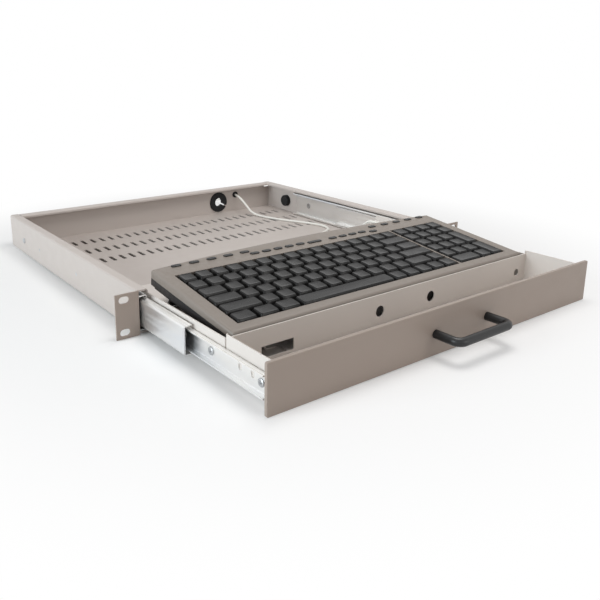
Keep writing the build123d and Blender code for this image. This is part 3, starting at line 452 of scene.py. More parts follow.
def finishes() -> dict[Slot, Finish]:
    """Chooses the finish of every slot.

    Returns:
        One finish for each of the record's slots.
    """
    return {
        Slot.PANEL_PAINT: FrontAndBody(PowderCoat(linear(158, 144, 134)), linear(190, 181, 175), 2.6),
        Slot.LIGHT_PAINT: PowderCoat(linear(216, 209, 203)),
        Slot.ZINC: ZincPlate(linear(232, 231, 229)),
        Slot.CAGE_STEEL: BareSteel(linear(168, 172, 176), 0.35),
        Slot.BALL_STEEL: BareSteel(linear(205, 207, 210), 0.12),
        Slot.SCREWS: BareSteel(linear(190, 192, 194), 0.3),
        Slot.BLACK_RUBBER: SoftRubber(linear(26, 26, 27)),
        Slot.BLACK_HANDLE: MouldedPlastic(linear(24, 24, 25), 0.38),
        Slot.CLIP_PLASTIC: MouldedPlastic(linear(225, 224, 218), 0.45),
        Slot.KEYBOARD_SHELL: TwoPartShell(linear(132, 123, 115), linear(38, 37, 38), 11.2),
        Slot.KEYBOARD_BASE: MouldedPlastic(linear(40, 39, 40), 0.5),
        Slot.KEY_CAPS: MouldedPlastic(linear(21, 20, 20), 0.3, specular=0.26),
        Slot.KEY_PLATE: MouldedPlastic(linear(34, 33, 32), 0.6),
        Slot.MEMBRANE: PrintedFilm(linear(205, 208, 200), linear(120, 124, 126)),
        Slot.DOME_RUBBER: SoftRubber(linear(150, 150, 146)),
        Slot.CIRCUIT_BOARD: PrintedFilm(linear(28, 84, 50), linear(60, 120, 70)),
        Slot.CORD_SHEATH: MouldedPlastic(linear(226, 223, 216), 0.4, 500.0),
        Slot.TIE: MouldedPlastic(linear(30, 30, 31), 0.5),
        Slot.PLUG_METAL: BareSteel(linear(200, 200, 202), 0.18),
    }


class Workshop:
    """Keeps the built materials and turns meshes into pieces that ride on the frame's bodies."""

    WELD_MM = 0.002
    FLAT_DEG = 0.6
    ROUNDED_DEG = 40
    CREASE_DEG = 28

    def __init__(self) -> None:
        """Builds every finish once."""
        self.materials = {slot: material_of(slot.value, finish) for slot, finish in finishes().items()}
        self.nodes_of = {entry["node"]: Slot(entry["material_slot"]) for entry in frame["record"]["subparts"]}

    def paint_frame(self) -> None:
        """Gives every carried-over CAD node its finish."""
        for node, slot in self.nodes_of.items():
            target = frame["nodes"][node]
            target.data.materials.clear()
            target.data.materials.append(self.materials[slot])
            log.info("painted %s with %s", node, slot.value)

    def piece(self, name: str, mesh: bpy.types.Mesh, slot: Slot) -> bpy.types.Object:
        """Makes an object from a mesh that is already in its place.

        Args:
            name: the piece's name.
            mesh: the mesh, in metres in the frame.
            slot: the finish that it takes.

        Returns:
            The new object.
        """
        mesh.materials.clear()
        mesh.materials.append(self.materials[slot])
        made = added(name, mesh)
        return made

    def mount(self, made: bpy.types.Object, body: str, *nodes: str) -> bpy.types.Object:
        """Lets a piece ride on a body and stand for CAD nodes.

        Args:
            made: the piece.
            body: the frame's body that carries it.
            nodes: the CAD nodes that it replaces.

        Returns:
            The same piece.
        """
        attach(made, body)
        if nodes:
            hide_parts(*nodes)
        log.info("piece %s rides on %s", made.name, body)
        return made

    def softened_copy(self, node: str, name: str, edge_mm: float) -> bpy.types.Object:
        """Copies a CAD node's form, joins its triangles and rounds its edges a little.

        Args:
            node: the CAD node.
            name: the new piece's name.
            edge_mm: width of the rounded edges, or 0 for none.

        Returns:
            The new object, not yet riding.
        """
        form = bmesh.new()
        form.from_mesh(frame["nodes"][node].data)
        bmesh.ops.remove_doubles(form, verts=form.verts, dist=self.WELD_MM * MM)
        flat, rounded = math.radians(self.FLAT_DEG), math.radians(self.ROUNDED_DEG)
        bmesh.ops.dissolve_limit(form, angle_limit=flat, verts=form.verts, edges=form.edges)
        if edge_mm:
            sharp = [edge for edge in form.edges if edge.is_manifold and edge.calc_face_angle() > rounded]
            bmesh.ops.bevel(form, geom=sharp, offset=edge_mm * MM, segments=2, profile=0.5, affect="EDGES",
                            clamp_overlap=True)
        for face in form.faces:
            face.smooth = True
        mesh = bpy.data.meshes.new(name)
        form.to_mesh(mesh)
        form.free()
        mesh.set_sharp_from_angle(angle=math.radians(self.CREASE_DEG))
        return self.piece(name, mesh, self.nodes_of[node])


class Scatter:
    """A Geometry Nodes tree that sets one form, turned as told, on every point of a mesh."""

    def __init__(self) -> None:
        """Builds the tree: instances on points, made real and painted."""
        tree = bpy.data.node_groups.new("form_on_points", "GeometryNodeTree")
        face = tree.interface
        face.new_socket("Points", in_out="INPUT", socket_type="NodeSocketGeometry")
        self.form_input = face.new_socket("Form", in_out="INPUT", socket_type="NodeSocketObject").identifier
        self.finish_input = face.new_socket("Finish", in_out="INPUT", socket_type="NodeSocketMaterial").identifier
        self.scale_input = face.new_socket("Scale", in_out="INPUT", socket_type="NodeSocketFloat").identifier
        face.new_socket("Pieces", in_out="OUTPUT", socket_type="NodeSocketGeometry")
        kinds = {"given": "NodeGroupInput", "result": "NodeGroupOutput", "form": "GeometryNodeObjectInfo",
                 "turn": "GeometryNodeInputNamedAttribute", "rotation": "FunctionNodeEulerToRotation",
                 "placed": "GeometryNodeInstanceOnPoints", "real": "GeometryNodeRealizeInstances",
                 "painted": "GeometryNodeSetMaterial"}
        nodes = {name: tree.nodes.new(kind) for name, kind in kinds.items()}
        nodes["turn"].data_type = "FLOAT_VECTOR"
        nodes["turn"].inputs["Name"].default_value = "turn"
        for source, value, target, socket in (
                ("given", "Points", "placed", "Points"),
                ("given", "Form", "form", "Object"),
                ("form", "Geometry", "placed", "Instance"),
                ("turn", "Attribute", "rotation", "Euler"),
                ("rotation", "Rotation", "placed", "Rotation"),
                ("given", "Scale", "placed", "Scale"),
                ("placed", "Instances", "real", "Geometry"),
                ("real", "Geometry", "painted", "Geometry"),
                ("given", "Finish", "painted", "Material"),
                ("painted", "Geometry", "result", "Pieces")):
            tree.links.new(nodes[source].outputs[value], nodes[target].inputs[socket])
        self.tree = tree

    def mesh(self, name: str, form: bpy.types.Mesh, spots: list[Matrix],
             finish: bpy.types.Material) -> bpy.types.Mesh:
        """Sets a form on the given spots.

        Args:
            name: the result's name.
            form: the form's mesh, round its own origin.
            spots: a placement for each copy, without scale.
            finish: the material.

        Returns:
            One plain mesh with every copy.
        """
        points = bpy.data.meshes.new(name + "_points")
        points.from_pydata([spot.to_translation() for spot in spots], [], [])
        turns = points.attributes.new("turn", "FLOAT_VECTOR", "POINT")
        turns.data.foreach_set("vector", [angle for spot in spots for angle in spot.to_euler()])
        carrier = added(name + "_carrier", points)
        model = added(name + "_form", form)
        modifier = carrier.modifiers.new("scatter", "NODES")
        modifier.node_group = self.tree
        modifier[self.form_input] = model
        modifier[self.finish_input] = finish
        modifier[self.scale_input] = 1.0
        graph = bpy.context.evaluated_depsgraph_get()
        result = bpy.data.meshes.new_from_object(carrier.evaluated_get(graph))
        result.name = name
        carrier.modifiers.remove(modifier)
        for helper in (carrier, model):
            bpy.data.objects.remove(helper)
        return result


def joined(name: str, meshes: Iterable[bpy.types.Mesh]) -> bpy.types.Mesh:
    """Joins meshes that are all in place into one.

    Args:
        name: the new mesh's name.
        meshes: the meshes, in the same units and place.

    Returns:
        One mesh with all their faces.
    """
    form = bmesh.new()
    for mesh in meshes:
        form.from_mesh(mesh)
    result = bpy.data.meshes.new(name)
    form.to_mesh(result)
    form.free()
    return result


def rounded_ring(half_x: float, half_y: float, radius: float, steps: int = 4) -> list[tuple[float, float]]:
    """Points of a rectangle with round corners, in order.

    Args:
        half_x, half_y: half its width and depth.
        radius: the corners' radius.
        steps: segments in each corner.

    Returns:
        The points, counter-clockwise.
    """
    ring = []
    for quarter in range(4):
        sign_x = 1 if quarter in (0, 3) else -1
        sign_y = 1 if quarter in (0, 1) else -1
        for step in range(steps + 1):
            angle = (quarter + step / steps) * math.pi / 2
            ring.append((sign_x * (half_x - radius) + radius * math.cos(angle),
                         sign_y * (half_y - radius) + radius * math.sin(angle)))
    return ring


def stacked(name: str, rings: list[list[Point]]) -> bpy.types.Mesh:
    """Skins a stack of rings with as many points each, and closes both ends.

    Args:
        name: the mesh's name.
        rings: the rings from the bottom to the middle of the top.

    Returns:
        The closed mesh, smooth, in the rings' units.
    """
    form = bmesh.new()
    rows = [[form.verts.new(point) for point in ring] for ring in rings]
    for low, high in zip(rows, rows[1:]):
        for index in range(len(low)):
            after = (index + 1) % len(low)
            form.faces.new((low[index], low[after], high[after], high[index]))
    form.faces.new(rows[0][::-1])
    form.faces.new(rows[-1])
    for face in form.faces:
        face.smooth = True
    mesh = bpy.data.meshes.new(name)
    form.to_mesh(mesh)
    form.free()
    return mesh


@dataclass(frozen=True)
class PhotoCamera:
    """The camera that took the photograph, in the frame of the object."""

    spot_mm: Point = (-483.2, -554.9, 257.8)
    yaw_deg: float = 36.59
    pitch_deg: float = 14.66
    roll_deg: float = 0.20
    focal_px: float = 690.9
    centre_px: tuple[float, float] = (265.8, 232.6)
    picture_px: float = 600.0
    sensor_mm: float = 36.0

    def build(self) -> None:
        """Makes the camera and sets it as the scene's own."""
        data = bpy.data.cameras.new("photo_camera")
        data.sensor_width = self.sensor_mm
        data.lens = self.focal_px / self.picture_px * self.sensor_mm
        data.shift_x = 0.5 - self.centre_px[0] / self.picture_px
        data.shift_y = self.centre_px[1] / self.picture_px - 0.5
        data.clip_start = 0.02
        data.clip_end = 60
        camera = added("photo_camera", data)
        yaw, pitch, roll = (math.radians(angle) for angle in (self.yaw_deg, self.pitch_deg, self.roll_deg))
        ahead = Vector((math.sin(yaw) * math.cos(pitch), math.cos(yaw) * math.cos(pitch), -math.sin(pitch)))
        right = Vector((math.cos(yaw), -math.sin(yaw), 0))
        above = right.cross(ahead)
        turned_right = right * math.cos(roll) + above * math.sin(roll)
        turned_up = above * math.cos(roll) - right * math.sin(roll)
        turn = Matrix((turned_right, turned_up, -ahead)).transposed()
        camera.matrix_world = Matrix.Translation(place(*self.spot_mm)) @ turn.to_4x4()
        bpy.context.scene.camera = camera


@dataclass(frozen=True)
class Lamp:
    """One soft panel of light that looks at the object."""

    name: str
    spot: Point
    size: float
    watts: float
    tint: Colour

    def build(self, target: Vector) -> None:
        """Makes the lamp.

        Args:
            target: the point that it faces.
        """
        data = bpy.data.lights.new(self.name, "AREA")
        data.shape = "SQUARE"
        data.size = self.size
        data.energy = self.watts
        data.color = self.tint
        lamp = added(self.name, data)
        lamp.location = self.spot
        lamp.rotation_euler = (target - Vector(self.spot)).to_track_quat("-Z", "Y").to_euler()


@dataclass
class Studio:
    """Pale floor, white surroundings and plain soft light."""

    floor_drop_mm: float = 0.6
    floor_half: float = 8.0
    # Sides of the dark sheet under the chassis: painted shade seen through the vent slots.
    shade_sheet_mm: tuple[float, float, float, float] = (-212, 212, 8, 376)
    white_from: float = 0.22
    white_to: float = 0.55
    fade_centre_y: float = 0.12
    ambient: float = 0.32
    centre_mm: Point = (0, 80, 20)
    floor_grey: float = 0.93
    # Colour of the dark sheet under the chassis, which is painted shade and not a real mat.
    shade_sheet_colour: Colour = linear(60, 54, 50)
    lamps: list[Lamp] = field(default_factory=lambda: [
        Lamp("left_lamp", (-2.3, 0.2, 0.5), 1.1, 38, (0.86, 0.95, 1.0)),
        Lamp("top_lamp", (0.1, -0.05, 0.85), 0.5, 4.5, (1.0, 0.985, 0.97)),
        Lamp("front_lamp", (0.9, -2.6, 0.8), 1.6, 16, (1.0, 0.985, 0.965)),
    ])

    def build(self) -> None:
        """Makes the floor, the world and the lamps."""
        bpy.context.scene.view_settings.view_transform = "Standard"
        for lamp in self.lamps:
            lamp.build(place(*self.centre_mm))
        self._world()
        self._floor()
        self._lay_painted_shade()
        log.info("studio with %d lamps", len(self.lamps))

    def _world(self) -> None:
        """Shows white to the camera and in reflections, and lights everything else softly."""
        world = bpy.data.worlds.new("white_room")
        world.use_nodes = True
        bpy.context.scene.world = world
        nodes, links = world.node_tree.nodes, world.node_tree.links
        soft, seen = nodes["Background"], nodes.new("ShaderNodeBackground")
        for light, strength in ((soft, self.ambient), (seen, 1.0)):
            light.inputs["Color"].default_value = (1, 1, 1, 1)
            light.inputs["Strength"].default_value = strength
        mix = nodes.new("ShaderNodeMixShader")
        links.new(self._seen_rays(nodes, links), mix.inputs["Fac"])
        links.new(soft.outputs["Background"], mix.inputs[1])
        links.new(seen.outputs["Background"], mix.inputs[2])
        links.new(mix.outputs["Shader"], nodes["World Output"].inputs["Surface"])

    def _floor(self) -> None:
        """Lays a pale floor that keeps the shadow and fades to white away from the object."""
        z = (-HALF_UNIT - self.floor_drop_mm) * MM
        half = self.floor_half
        floor = sheet("floor", -half, half, -half, half, z)
        material = bpy.data.materials.new("pale_floor")
        material.use_nodes = True
        nodes, links = material.node_tree.nodes, material.node_tree.links
        nodes.remove(nodes["Principled BSDF"])
        matt = nodes.new("ShaderNodeBsdfDiffuse")
        matt.inputs["Color"].default_value = (*[self.floor_grey] * 3, 1)
        white = nodes.new("ShaderNodeEmission")
        space = nodes.new("ShaderNodeTexCoord")
        away = nodes.new("ShaderNodeVectorMath")
        away.operation = "DISTANCE"
        away.inputs[1].default_value = (0, self.fade_centre_y, z)
        fade = nodes.new("ShaderNodeMapRange")
        fade.interpolation_type = "SMOOTHSTEP"
        fade.inputs["From Min"].default_value = self.white_from
        fade.inputs["From Max"].default_value = self.white_to
        both = nodes.new("ShaderNodeMath")
        both.operation = "MULTIPLY"
        mix = nodes.new("ShaderNodeMixShader")
        links.new(space.outputs["Object"], away.inputs[0])
        links.new(away.outputs["Value"], fade.inputs["Value"])
        links.new(fade.outputs["Result"], both.inputs[0])
        links.new(self._seen_rays(nodes, links), both.inputs[1])
        links.new(both.outputs["Value"], mix.inputs["Fac"])
        links.new(matt.outputs["BSDF"], mix.inputs[1])
        links.new(white.outputs["Emission"], mix.inputs[2])
        links.new(mix.outputs["Shader"], nodes["Material Output"].inputs["Surface"])
        floor.data.materials.append(material)

    def _lay_painted_shade(self) -> None:
        """Lays a dark sheet of painted shade under the chassis, so that the vent slots look into the dark."""
        z = (-HALF_UNIT - self.floor_drop_mm / 2) * MM
        shade_cover = sheet("dark_mat", *[side * MM for side in self.shade_sheet_mm], z)
        # The sheet's dark rubber finish is painted shade under the vent slots.
        shade_cover.data.materials.append(material_of("dark_mat", SoftRubber(self.shade_sheet_colour)))

    @staticmethod
    def _seen_rays(nodes: bpy.types.Nodes, links: bpy.types.NodeLinks) -> bpy.types.NodeSocket:
        """Tells rays that see the surroundings from rays that only light the object.

        Args:
            nodes: the tree's nodes.
            links: the tree's links.

        Returns:
            A value that is 1 for rays that the camera, a reflection or a clear body sends.
        """
        path = nodes.new("ShaderNodeLightPath")
        first, second = nodes.new("ShaderNodeMath"), nodes.new("ShaderNodeMath")
        first.operation = second.operation = "MAXIMUM"
        links.new(path.outputs["Is Camera Ray"], first.inputs[0])
        links.new(path.outputs["Is Glossy Ray"], first.inputs[1])
        links.new(first.outputs["Value"], second.inputs[0])
        links.new(path.outputs["Is Transmission Ray"], second.inputs[1])
        return second.outputs["Value"]


@dataclass
class KeyboardCord:
    """The keyboard's pale cord: a short run to the clip and a long one out of the rear wall."""

    workshop: Workshop
    diameter_mm: float = 3.4
    clip: Point = (130.0, 100.0, 9.36)
    coil_centre: tuple[float, float] = (96.0, 436.0)
    coil_pitch_mm: float = 3.4
    coil_middle_mm: float = 19.0
    coil_base_mm: float = 2.26
    lead_mm: float = 18.5
    plug_height_mm: float = 6.06
    points_per_turn: int = 14
    turns: float = 7.5
    layer_change: float = 0.25
    play_mm: float = 0.06
    chassis_sheet_mm: float = 1.5

    def chassis_route(self) -> list[Point]:
        """Lists the spline points from the clip to the coil.

        Returns:
            Points over the chassis floor, through the rear wall and down to the ground, in millimetres.
        """
        ground = self.diameter_mm / 2 + self.play_mm
        floor = ground + self.chassis_sheet_mm
        return [
            self.clip, (130.0, 112.5, 9.36), (129.6, 129.0, 10.8),
            (130.5, 148.0, 5.4), (141.0, 167.0, floor), (163.0, 177.0, floor),
            (186.0, 187.0, floor), (194.0, 211.0, floor), (183.0, 240.0, floor),
            (166.0, 272.0, floor), (154.0, 306.0, floor), (148.5, 332.0, 4.6),
            (147.4, 351.0, 17.5), (147.0, 371.0, 28.5), (147.0, 403.0, 28.5),
            (150.0, 420.0, 22.0), (158.0, 441.0, 9.0), (162.5, 465.0, 3.0),
            (151.0, 484.0, ground), (132.0, 486.0, ground), (118.6, 472.0, ground),
        ]

    def coil_turns(self) -> list[Point]:
        """Winds up the rest of the cord, layer by layer.

        Returns:
            Points from the coil's right side round to the plug's lead, in millimetres.
        """
        outer = self.coil_middle_mm + self.coil_pitch_mm
        layers = [(outer, 0), (self.coil_middle_mm, 0), (self.coil_middle_mm - self.coil_pitch_mm, 0)]
        layers += [(radius, 1) for radius, _ in layers[::-1]] + [(outer, 2), (outer, 2)]
        centre_x, centre_y = self.coil_centre
        points = [(centre_x + outer, centre_y + self.lead_mm, self.coil_base_mm)]
        steps = int(self.turns * self.points_per_turn)
        for step in range(steps + 1):
            turn = step / self.points_per_turn
            index = min(int(turn), len(layers) - 2)
            share = min(max((turn - index - 1 + self.layer_change) / self.layer_change, 0), 1)
            radius = layers[index][0] * (1 - share) + layers[index + 1][0] * share
            level = layers[index][1] * (1 - share) + layers[index + 1][1] * share
            angle = -turn * 2 * math.pi
            points.append((centre_x + radius * math.cos(angle), centre_y + radius * math.sin(angle),
                           self.coil_base_mm + level * self.coil_pitch_mm))
        points.append((centre_x - outer, centre_y + self.lead_mm * 0.55, self.plug_height_mm + 1))
        return points + [(centre_x - outer, centre_y + self.lead_mm, self.plug_height_mm)]

    def keyboard_route(self) -> list[Point]:
        """Lists the spline points behind the keyboard.

        Returns:
            Points from the strain relief down to the clip, in millimetres.
        """
        return [
            Keyboard.raised(130.0, 135.9, 12.0), Keyboard.raised(130.0, 153.9, 12.0), (130.6, 54.6, 49.6),
            (131.0, 64.4, 39.6), (130.8, 69.0, 29.0), (130.5, 75.5, 16.8),
            (130.0, 87.0, 9.36), self.clip,
        ]

    def tube(self, name: str, route: list[Point]) -> tuple[bpy.types.Object, list[Vector]]:
        """Makes a smooth tube along a route.

        Args:
            name: the piece's name.
            route: control points of a smooth spline, in millimetres.

        Returns:
            The tube as a mesh object, and the points of its centreline.
        """
        curve = bpy.data.curves.new(name + "_line", "CURVE")
        curve.dimensions = "3D"
        curve.resolution_u = 6
        spline = curve.splines.new("NURBS")
        spline.points.add(len(route) - 1)
        for point, spot in zip(spline.points, route):
            point.co = (*place(*spot), 1)
        spline.order_u = 3
        spline.use_endpoint_u = True
        carrier = added(name + "_line", curve)
        graph = bpy.context.evaluated_depsgraph_get()
        line = bpy.data.meshes.new_from_object(carrier.evaluated_get(graph))
        path = [vertex.co.copy() for vertex in line.vertices]
        curve.bevel_depth = self.diameter_mm / 2 * MM
        curve.bevel_resolution = 4
        curve.use_fill_caps = True
        graph.update()
        skin = bpy.data.meshes.new_from_object(carrier.evaluated_get(graph))
        skin.name = name
        bpy.data.objects.remove(carrier)
        for face in skin.polygons:
            face.use_smooth = True
        return self.workshop.piece(name, skin, Slot.CORD_SHEATH), path

    def build(self) -> None:
        plug = [self.workshop.mount(self.workshop.softened_copy(node, name, 0.0), "chassis", node)
                for node, name in (("cord_plug", "plug_body"), ("plug_shell", "plug_sleeve"))]
        run, path = self.tube("cord_long_run", self.chassis_route() + self.coil_turns())
        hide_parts("cord_chassis_run", "cord_coil")
        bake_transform(run)
        short, path = self.tube("cord_short_run", self.keyboard_route())
        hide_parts("cord_keyboard_run")
        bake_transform(short)


class KeyRow(Enum):
    """Key rows from the front: node, row number and widths in key units, negative for a space."""

    BOTTOM = ("keys_bottom_row", 0, (1.25, 1.25, 1.25, -6.25, 1, 1, 1, 1, 1))
    SPACE = ("space_bar", 0, (-1.25, -1.25, -1.25, 6.25))
    SHIFT = ("keys_shift_row", 1, (2.25,) + (1,) * 10 + (1.75, 1))
    HOME = ("keys_home_row", 2, (1.75,) + (1,) * 11 + (2.25,))
    UPPER = ("keys_upper_row", 3, (1.5,) + (1,) * 12 + (1.5,))
    NUMBER = ("keys_number_row", 4, (1,) * 13 + (2,))
    FUNCTION = ("keys_function_row", 5, (15 / 16,) * 16)


@dataclass
class Keyboard:
    """Key caps with dished tops, and the small oval rear keys."""

    workshop: Workshop
    scatter: Scatter
    unit_mm: float = 19.05
    row_mm: float = 17.6
    gap_mm: float = 0.85
    block_front_mm: float = 0.5
    main_left_mm: float = -183.5
    pad_left_mm: float = 104.9
    cap_height_mm: float = 5.7
    proud_mm: float = 1.2
    taper_mm: float = 2.3
    dish_mm: float = 0.55
    depth_taper: float = 0.8
    lean: float = 0.2
    foot_radius_mm: float = 0.5
    dish_rings: tuple[float, ...] = (0.86, 0.6, 0.3)
    stem_mm: float = 5.0
    stem_foot_mm: float = 9.2
    stem_row_y_mm: float = 50.0
    front_mm: tuple[float, float] = (-11.0, 18.0)
    rear_mm: tuple[float, float] = (129.5, 20.4)

    # Share of the taper, height from the cap's top and corner radius at each level above its foot.
    cap_levels: tuple[Point, ...] = ((0.82, -1.5, 1.3), (0.93, -0.55, 1.7), (1.08, -0.12, 1.9))

    TILT = math.radians(6.2)
    TILT_LINE = (0.0, -111.5, 22.65)

    @classmethod
    def tilted(cls) -> Matrix:
        """Placement of the keyboard's own frame at rest, in metres."""
        return Matrix.Translation(place(*cls.TILT_LINE)) @ Matrix.Rotation(cls.TILT, 4, "X")

    @classmethod
    def raised(cls, x: float, y: float, z: float) -> Point:
        """Takes a point of the keyboard's own frame to the drawer's, in millimetres."""
        spot = Matrix.Rotation(cls.TILT, 3, "X") @ Vector((x, y, z)) + Vector(cls.TILT_LINE)
        return tuple(spot)

    def lid_height(self, y: float) -> float:
        """Height of the lid's top at y."""
        slope = (self.rear_mm[1] - self.front_mm[1]) / (self.rear_mm[0] - self.front_mm[0])
        return self.front_mm[1] + (y - self.front_mm[0]) * slope

    def cap_form(self, width: float, depth: float) -> bpy.types.Mesh:
        """A key cap with round corners, tapered sides and a dished top.

        Args:
            width: cap width at its foot, in millimetres.
            depth: cap depth at its foot.

        Returns:
            The cap's mesh round the middle of its top, in metres.
        """
        rings = []
        shift = self.taper_mm * self.lean
        for share, z, radius in ((0.0, -self.cap_height_mm, self.foot_radius_mm), *self.cap_levels):
            half_x = width / 2 - self.taper_mm * share
            half_y = depth / 2 - self.taper_mm * self.depth_taper * share
            rings.append([(x, y + shift * share, z) for x, y in rounded_ring(half_x, half_y, radius)])
        top_share, top_z, _ = self.cap_levels[-1]
        edge_x, rim = width / 2 - self.taper_mm * top_share, rings[-1]
        for scale in self.dish_rings:
            ring = [(x * scale, (y - shift) * scale + shift) for x, y, _ in rim]
            rings.append([(x, y, top_z - self.dish_mm * (1 - (x / edge_x) ** 2)) for x, y in ring])
        cap = stacked("cap", [[(x * MM, y * MM, z * MM) for x, y, z in ring] for ring in rings])
        half = self.stem_mm / 2
        stem = rounded_ring(half, half, 0.3)
        reach = self.lid_height(self.stem_row_y_mm) + self.proud_mm - self.stem_foot_mm
        lengths = (-reach, -self.cap_height_mm + 0.2)
        post = stacked("post", [[(x * MM, y * MM, z * MM) for x, y in stem] for z in lengths])
        mesh = joined("cap_and_post", [cap, post])
        mesh.set_sharp_from_angle(angle=math.radians(38))
        return mesh

    def spots(self, centres: Iterable[tuple[float, float]]) -> list[Matrix]:
        """Placements on the sloping lid for cap centres given in the keyboard's own frame."""
        return [self.tilted() @ Matrix.Translation(Vector((x, y, self.lid_height(y) + self.proud_mm)) * MM)
                for x, y in centres]

    def caps(self, name: str, keys: list[Cell]) -> bpy.types.Mesh:
        """Sets caps for keys of several sizes.

        Args:
            name: the mesh's name.
            keys: x, y, width and depth of each key's cell, in millimetres.

        Returns:
            One mesh with every cap.
        """
        sizes = sorted({(round(width, 3), round(depth, 3)) for _, _, width, depth in keys})
        finish = self.workshop.materials[Slot.KEY_CAPS]
        parts = []
        for width, depth in sizes:
            form = self.cap_form(width - self.gap_mm, depth - self.gap_mm)
            centres = [(x, y) for x, y, *size in keys if (round(size[0], 3), round(size[1], 3)) == (width, depth)]
            parts.append(self.scatter.mesh(name, form, self.spots(centres), finish))
        return joined(name, parts)

    def row_keys(self, row: KeyRow) -> list[Cell]:
        """Lays out one row's keys.

        Args:
            row: the row.

        Returns:
            x, y, width and depth of each key's cell, in millimetres.
        """
        _, number, widths = row.value
        x = self.main_left_mm
        y = self.block_front_mm + (number + 0.5) * self.row_mm
        keys = []
        for units in widths:
            width = abs(units) * self.unit_mm
            if units > 0:
                keys.append((x + width / 2, y, width, self.row_mm))
            x += width
        return keys

    def pad_keys(self) -> list[Cell]:
        """Lays out the number pad's keys.

        Returns:
            x, y, width and depth of each key's cell, in millimetres.
        """
        cells = [(0, 0, 2, 1), (2, 0, 1, 1), (3, 0, 1, 2), (3, 2, 1, 2)]
        cells += [(column, row, 1, 1) for row in (1, 2, 3) for column in range(3)]
        cells += [(column, row, 1, 1) for row in (4, 5) for column in range(4)]
        return [(self.pad_left_mm + (column + wide / 2) * self.unit_mm,
                 self.block_front_mm + (row + deep / 2) * self.row_mm, wide * self.unit_mm, deep * self.row_mm)
                for column, row, wide, deep in cells]

    def build(self) -> None:
        """Makes every group of caps and smooths the top shell and the small keys."""
        for row in KeyRow:
            node = row.value[0]
            caps = self.workshop.piece(node + "_caps", self.caps(node, self.row_keys(row)), Slot.KEY_CAPS)
            self.workshop.mount(caps, node, node)
        pad = self.workshop.piece("number_pad_caps", self.caps("pad", self.pad_keys()), Slot.KEY_CAPS)
        self.workshop.mount(pad, "keys_number_pad", "keys_number_pad")
        for node, name, edge in (("keyboard_lid", "keyboard_top_shell", 0.25), ("hot_keys", "oval_keys", 0)):
            body = "keyboard" if node == "keyboard_lid" else node
            self.workshop.mount(self.workshop.softened_copy(node, name, edge), body, node)


@dataclass(frozen=True)
class PanHead:
    """A pan-head screw with a cross recess; its head points along its own Z."""

    head_radius: float
    head_height: float
    shank_radius: float
    shank_length: float
    recess: float = 0.62
    arm_width: float = 0.16
    steps: int = 28

    # Shares of the head's radius and height.
    profile: tuple[tuple[float, float], ...] = ((1, 0), (1, 0.35), (0.93, 0.68), (0.75, 0.9), (0.45, 1))
    recess_levels: tuple[tuple[float, float], ...] = ((0.45, 0.35), (1.0, 1.2))

    def mesh(self) -> bpy.types.Mesh:
        """Turns the head and cuts the recess.

        Returns:
            The screw's mesh in metres, with the head's seat at the origin.
        """
        outline = [(self.shank_radius, -self.shank_length), (self.shank_radius, 0)]
        outline += [(self.head_radius * wide, self.head_height * high) for wide, high in self.profile]
        turns = [step * math.tau / self.steps for step in range(self.steps)]
        rings = [[(radius * math.cos(turn) * MM, radius * math.sin(turn) * MM, z * MM) for turn in turns]
                 for radius, z in outline]
        solid = added("screw_blank", stacked("screw_blank", rings))
        cutter = added("recess", self._cross())
        cut = solid.modifiers.new("recess", "BOOLEAN")
        cut.object = cutter
        cut.solver = "EXACT"
        graph = bpy.context.evaluated_depsgraph_get()
        result = bpy.data.meshes.new_from_object(solid.evaluated_get(graph))
        for helper in (solid, cutter):
            bpy.data.objects.remove(helper)
        result.set_sharp_from_angle(angle=math.radians(35))
        return result

    def _cross(self) -> bpy.types.Mesh:
        """Makes the plus-shaped plug that cuts the recess, narrower at its bottom.

        Returns:
            The plug's closed mesh in metres, over the head's seat.
        """
        reach = self.head_radius * self.recess
        width = self.head_radius * self.arm_width
        arm = [(reach, -width), (reach, width), (width, width)]
        outline = []
        for _ in range(4):
            outline += arm
            arm = [(-y, x) for x, y in arm]
        return stacked("recess", [[(x * taper * MM, y * taper * MM, self.head_height * level * MM)
                                   for x, y in outline] for taper, level in self.recess_levels])


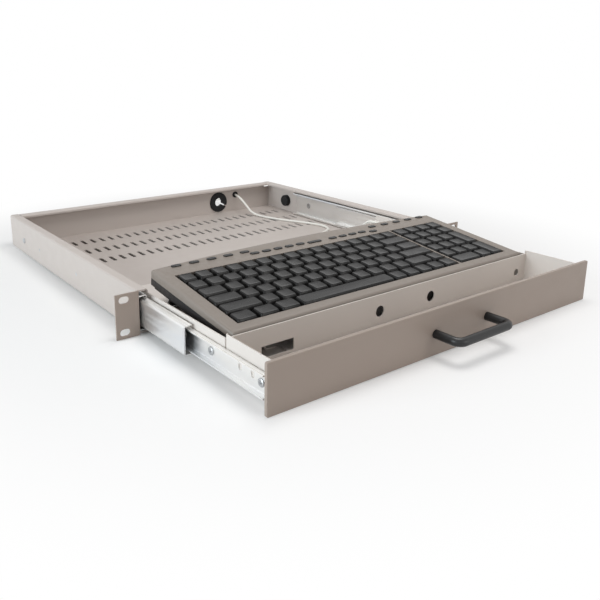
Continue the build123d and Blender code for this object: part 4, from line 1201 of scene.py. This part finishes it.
@dataclass
class Fasteners:
    """Screws whose recesses can be seen."""

    workshop: Workshop
    scatter: Scatter
    side_screw: PanHead = PanHead(3.8, 1.5, 2.0, 4.0)
    buffer_screw: PanHead = PanHead(3.6, 1.6, 2.0, 6.0)
    handle_screw: PanHead = PanHead(4.6, 2.8, 2.5, 14.0)
    shell_screw: PanHead = PanHead(2.6, 1.1, 1.3, 7.0)
    side_x_mm: float = 205.3
    side_ys_mm: tuple[float, ...] = (-176.0, -106.0, -4.0, 96.0)
    side_z_mm: float = 19.4
    buffer_mm: Point = (218.3, 329.0, 19.0)
    handle_y_mm: float = -189.3
    handle_z_mm: float = 20.5
    handle_xs_mm: tuple[float, float] = (-30.0, 42.0)
    shell_mm: tuple[tuple[float, float], ...] = (
        (-140.0, 118.5), (118.0, 118.5), (188.5, 8.0), (-188.5, 60.0), (188.5, 90.0))
    shell_seat_mm: float = 1.2

    @staticmethod
    def facing(spot: Point, way: Point) -> Matrix:
        """Placement of a screw whose head points along way."""
        return Matrix.Translation(place(*spot)) @ Vector(way).to_track_quat("Z", "Y").to_matrix().to_4x4()

    def fit(self, node: str, body: str, screw: PanHead, spots: list[Matrix]) -> None:
        """Sets screws on their spots in place of a CAD node.

        Args:
            node: the CAD node that they replace.
            body: the body that they ride on.
            screw: their form.
            spots: a placement for each screw.
        """
        finish = self.workshop.materials[Slot.SCREWS]
        mesh = self.scatter.mesh(node + "_heads", screw.mesh(), spots, finish)
        self.workshop.mount(self.workshop.piece(node + "_cross_heads", mesh, Slot.SCREWS), body, node)

    def build(self) -> None:
        """Makes the four kinds of screws."""
        sides = (-1, 1)
        self.fit("tray_screws", "drawer", self.side_screw,
                 [self.facing((side * self.side_x_mm, y, self.side_z_mm), (side, 0, 0))
                  for side in sides for y in self.side_ys_mm])
        x, *rest = self.buffer_mm
        self.fit("buffer_screws", "chassis", self.buffer_screw,
                 [self.facing((side * x, *rest), (side, 0, 0)) for side in sides])
        self.fit("handle_screws", "drawer", self.handle_screw,
                 [self.facing((x, self.handle_y_mm, self.handle_z_mm), (0, 1, 0)) for x in self.handle_xs_mm])
        under = Keyboard.tilted()
        flipped = Matrix.Rotation(math.pi, 4, "X")
        self.fit("shell_screws", "keyboard", self.shell_screw,
                 [under @ Matrix.Translation(Vector((x, y, self.shell_seat_mm)) * MM) @ flipped
                  for x, y in self.shell_mm])


@dataclass
class SoftenedForms:
    """Moulded, cast and bent pieces whose round forms are shown smooth."""

    workshop: Workshop
    pieces: tuple[tuple[str, str, str, float], ...] = (
        ("handle", "bow_handle", "drawer", 0.0),
        ("cable_grommet", "split_grommet", "chassis", 0.0),
        ("cord_bush", "cord_bushing", "chassis", 0.2),
        ("rubber_buffers", "round_buffers", "chassis", 0.0),
        ("front_panel", "front_plate", "drawer", 0.0),
        ("keyboard_base", "keyboard_bottom_shell", "keyboard", 0.0),
        ("strain_relief", "cord_relief", "keyboard", 0.15),
        ("left_flip_foot", "left_fold_out_foot", "left_flip_foot", 0.3),
        ("right_flip_foot", "right_fold_out_foot", "right_flip_foot", 0.3),
    )

    def build(self) -> None:
        """Makes a smooth piece for each of them."""
        for node, name, body, edge in self.pieces:
            self.workshop.mount(self.workshop.softened_copy(node, name, edge), body, node)


def main() -> None:
    """Builds the studio and every piece in order."""
    logging.basicConfig(level=logging.INFO, format="%(name)s: %(message)s")
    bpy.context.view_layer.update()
    PhotoCamera().build()
    workshop = Workshop()
    KeyboardCord(workshop).build()
    Studio().build()
    workshop.paint_frame()
    scatter = Scatter()
    for group in (SoftenedForms(workshop), Keyboard(workshop, scatter), Fasteners(workshop, scatter)):
        group.build()


if __name__ == "__main__":
    main()
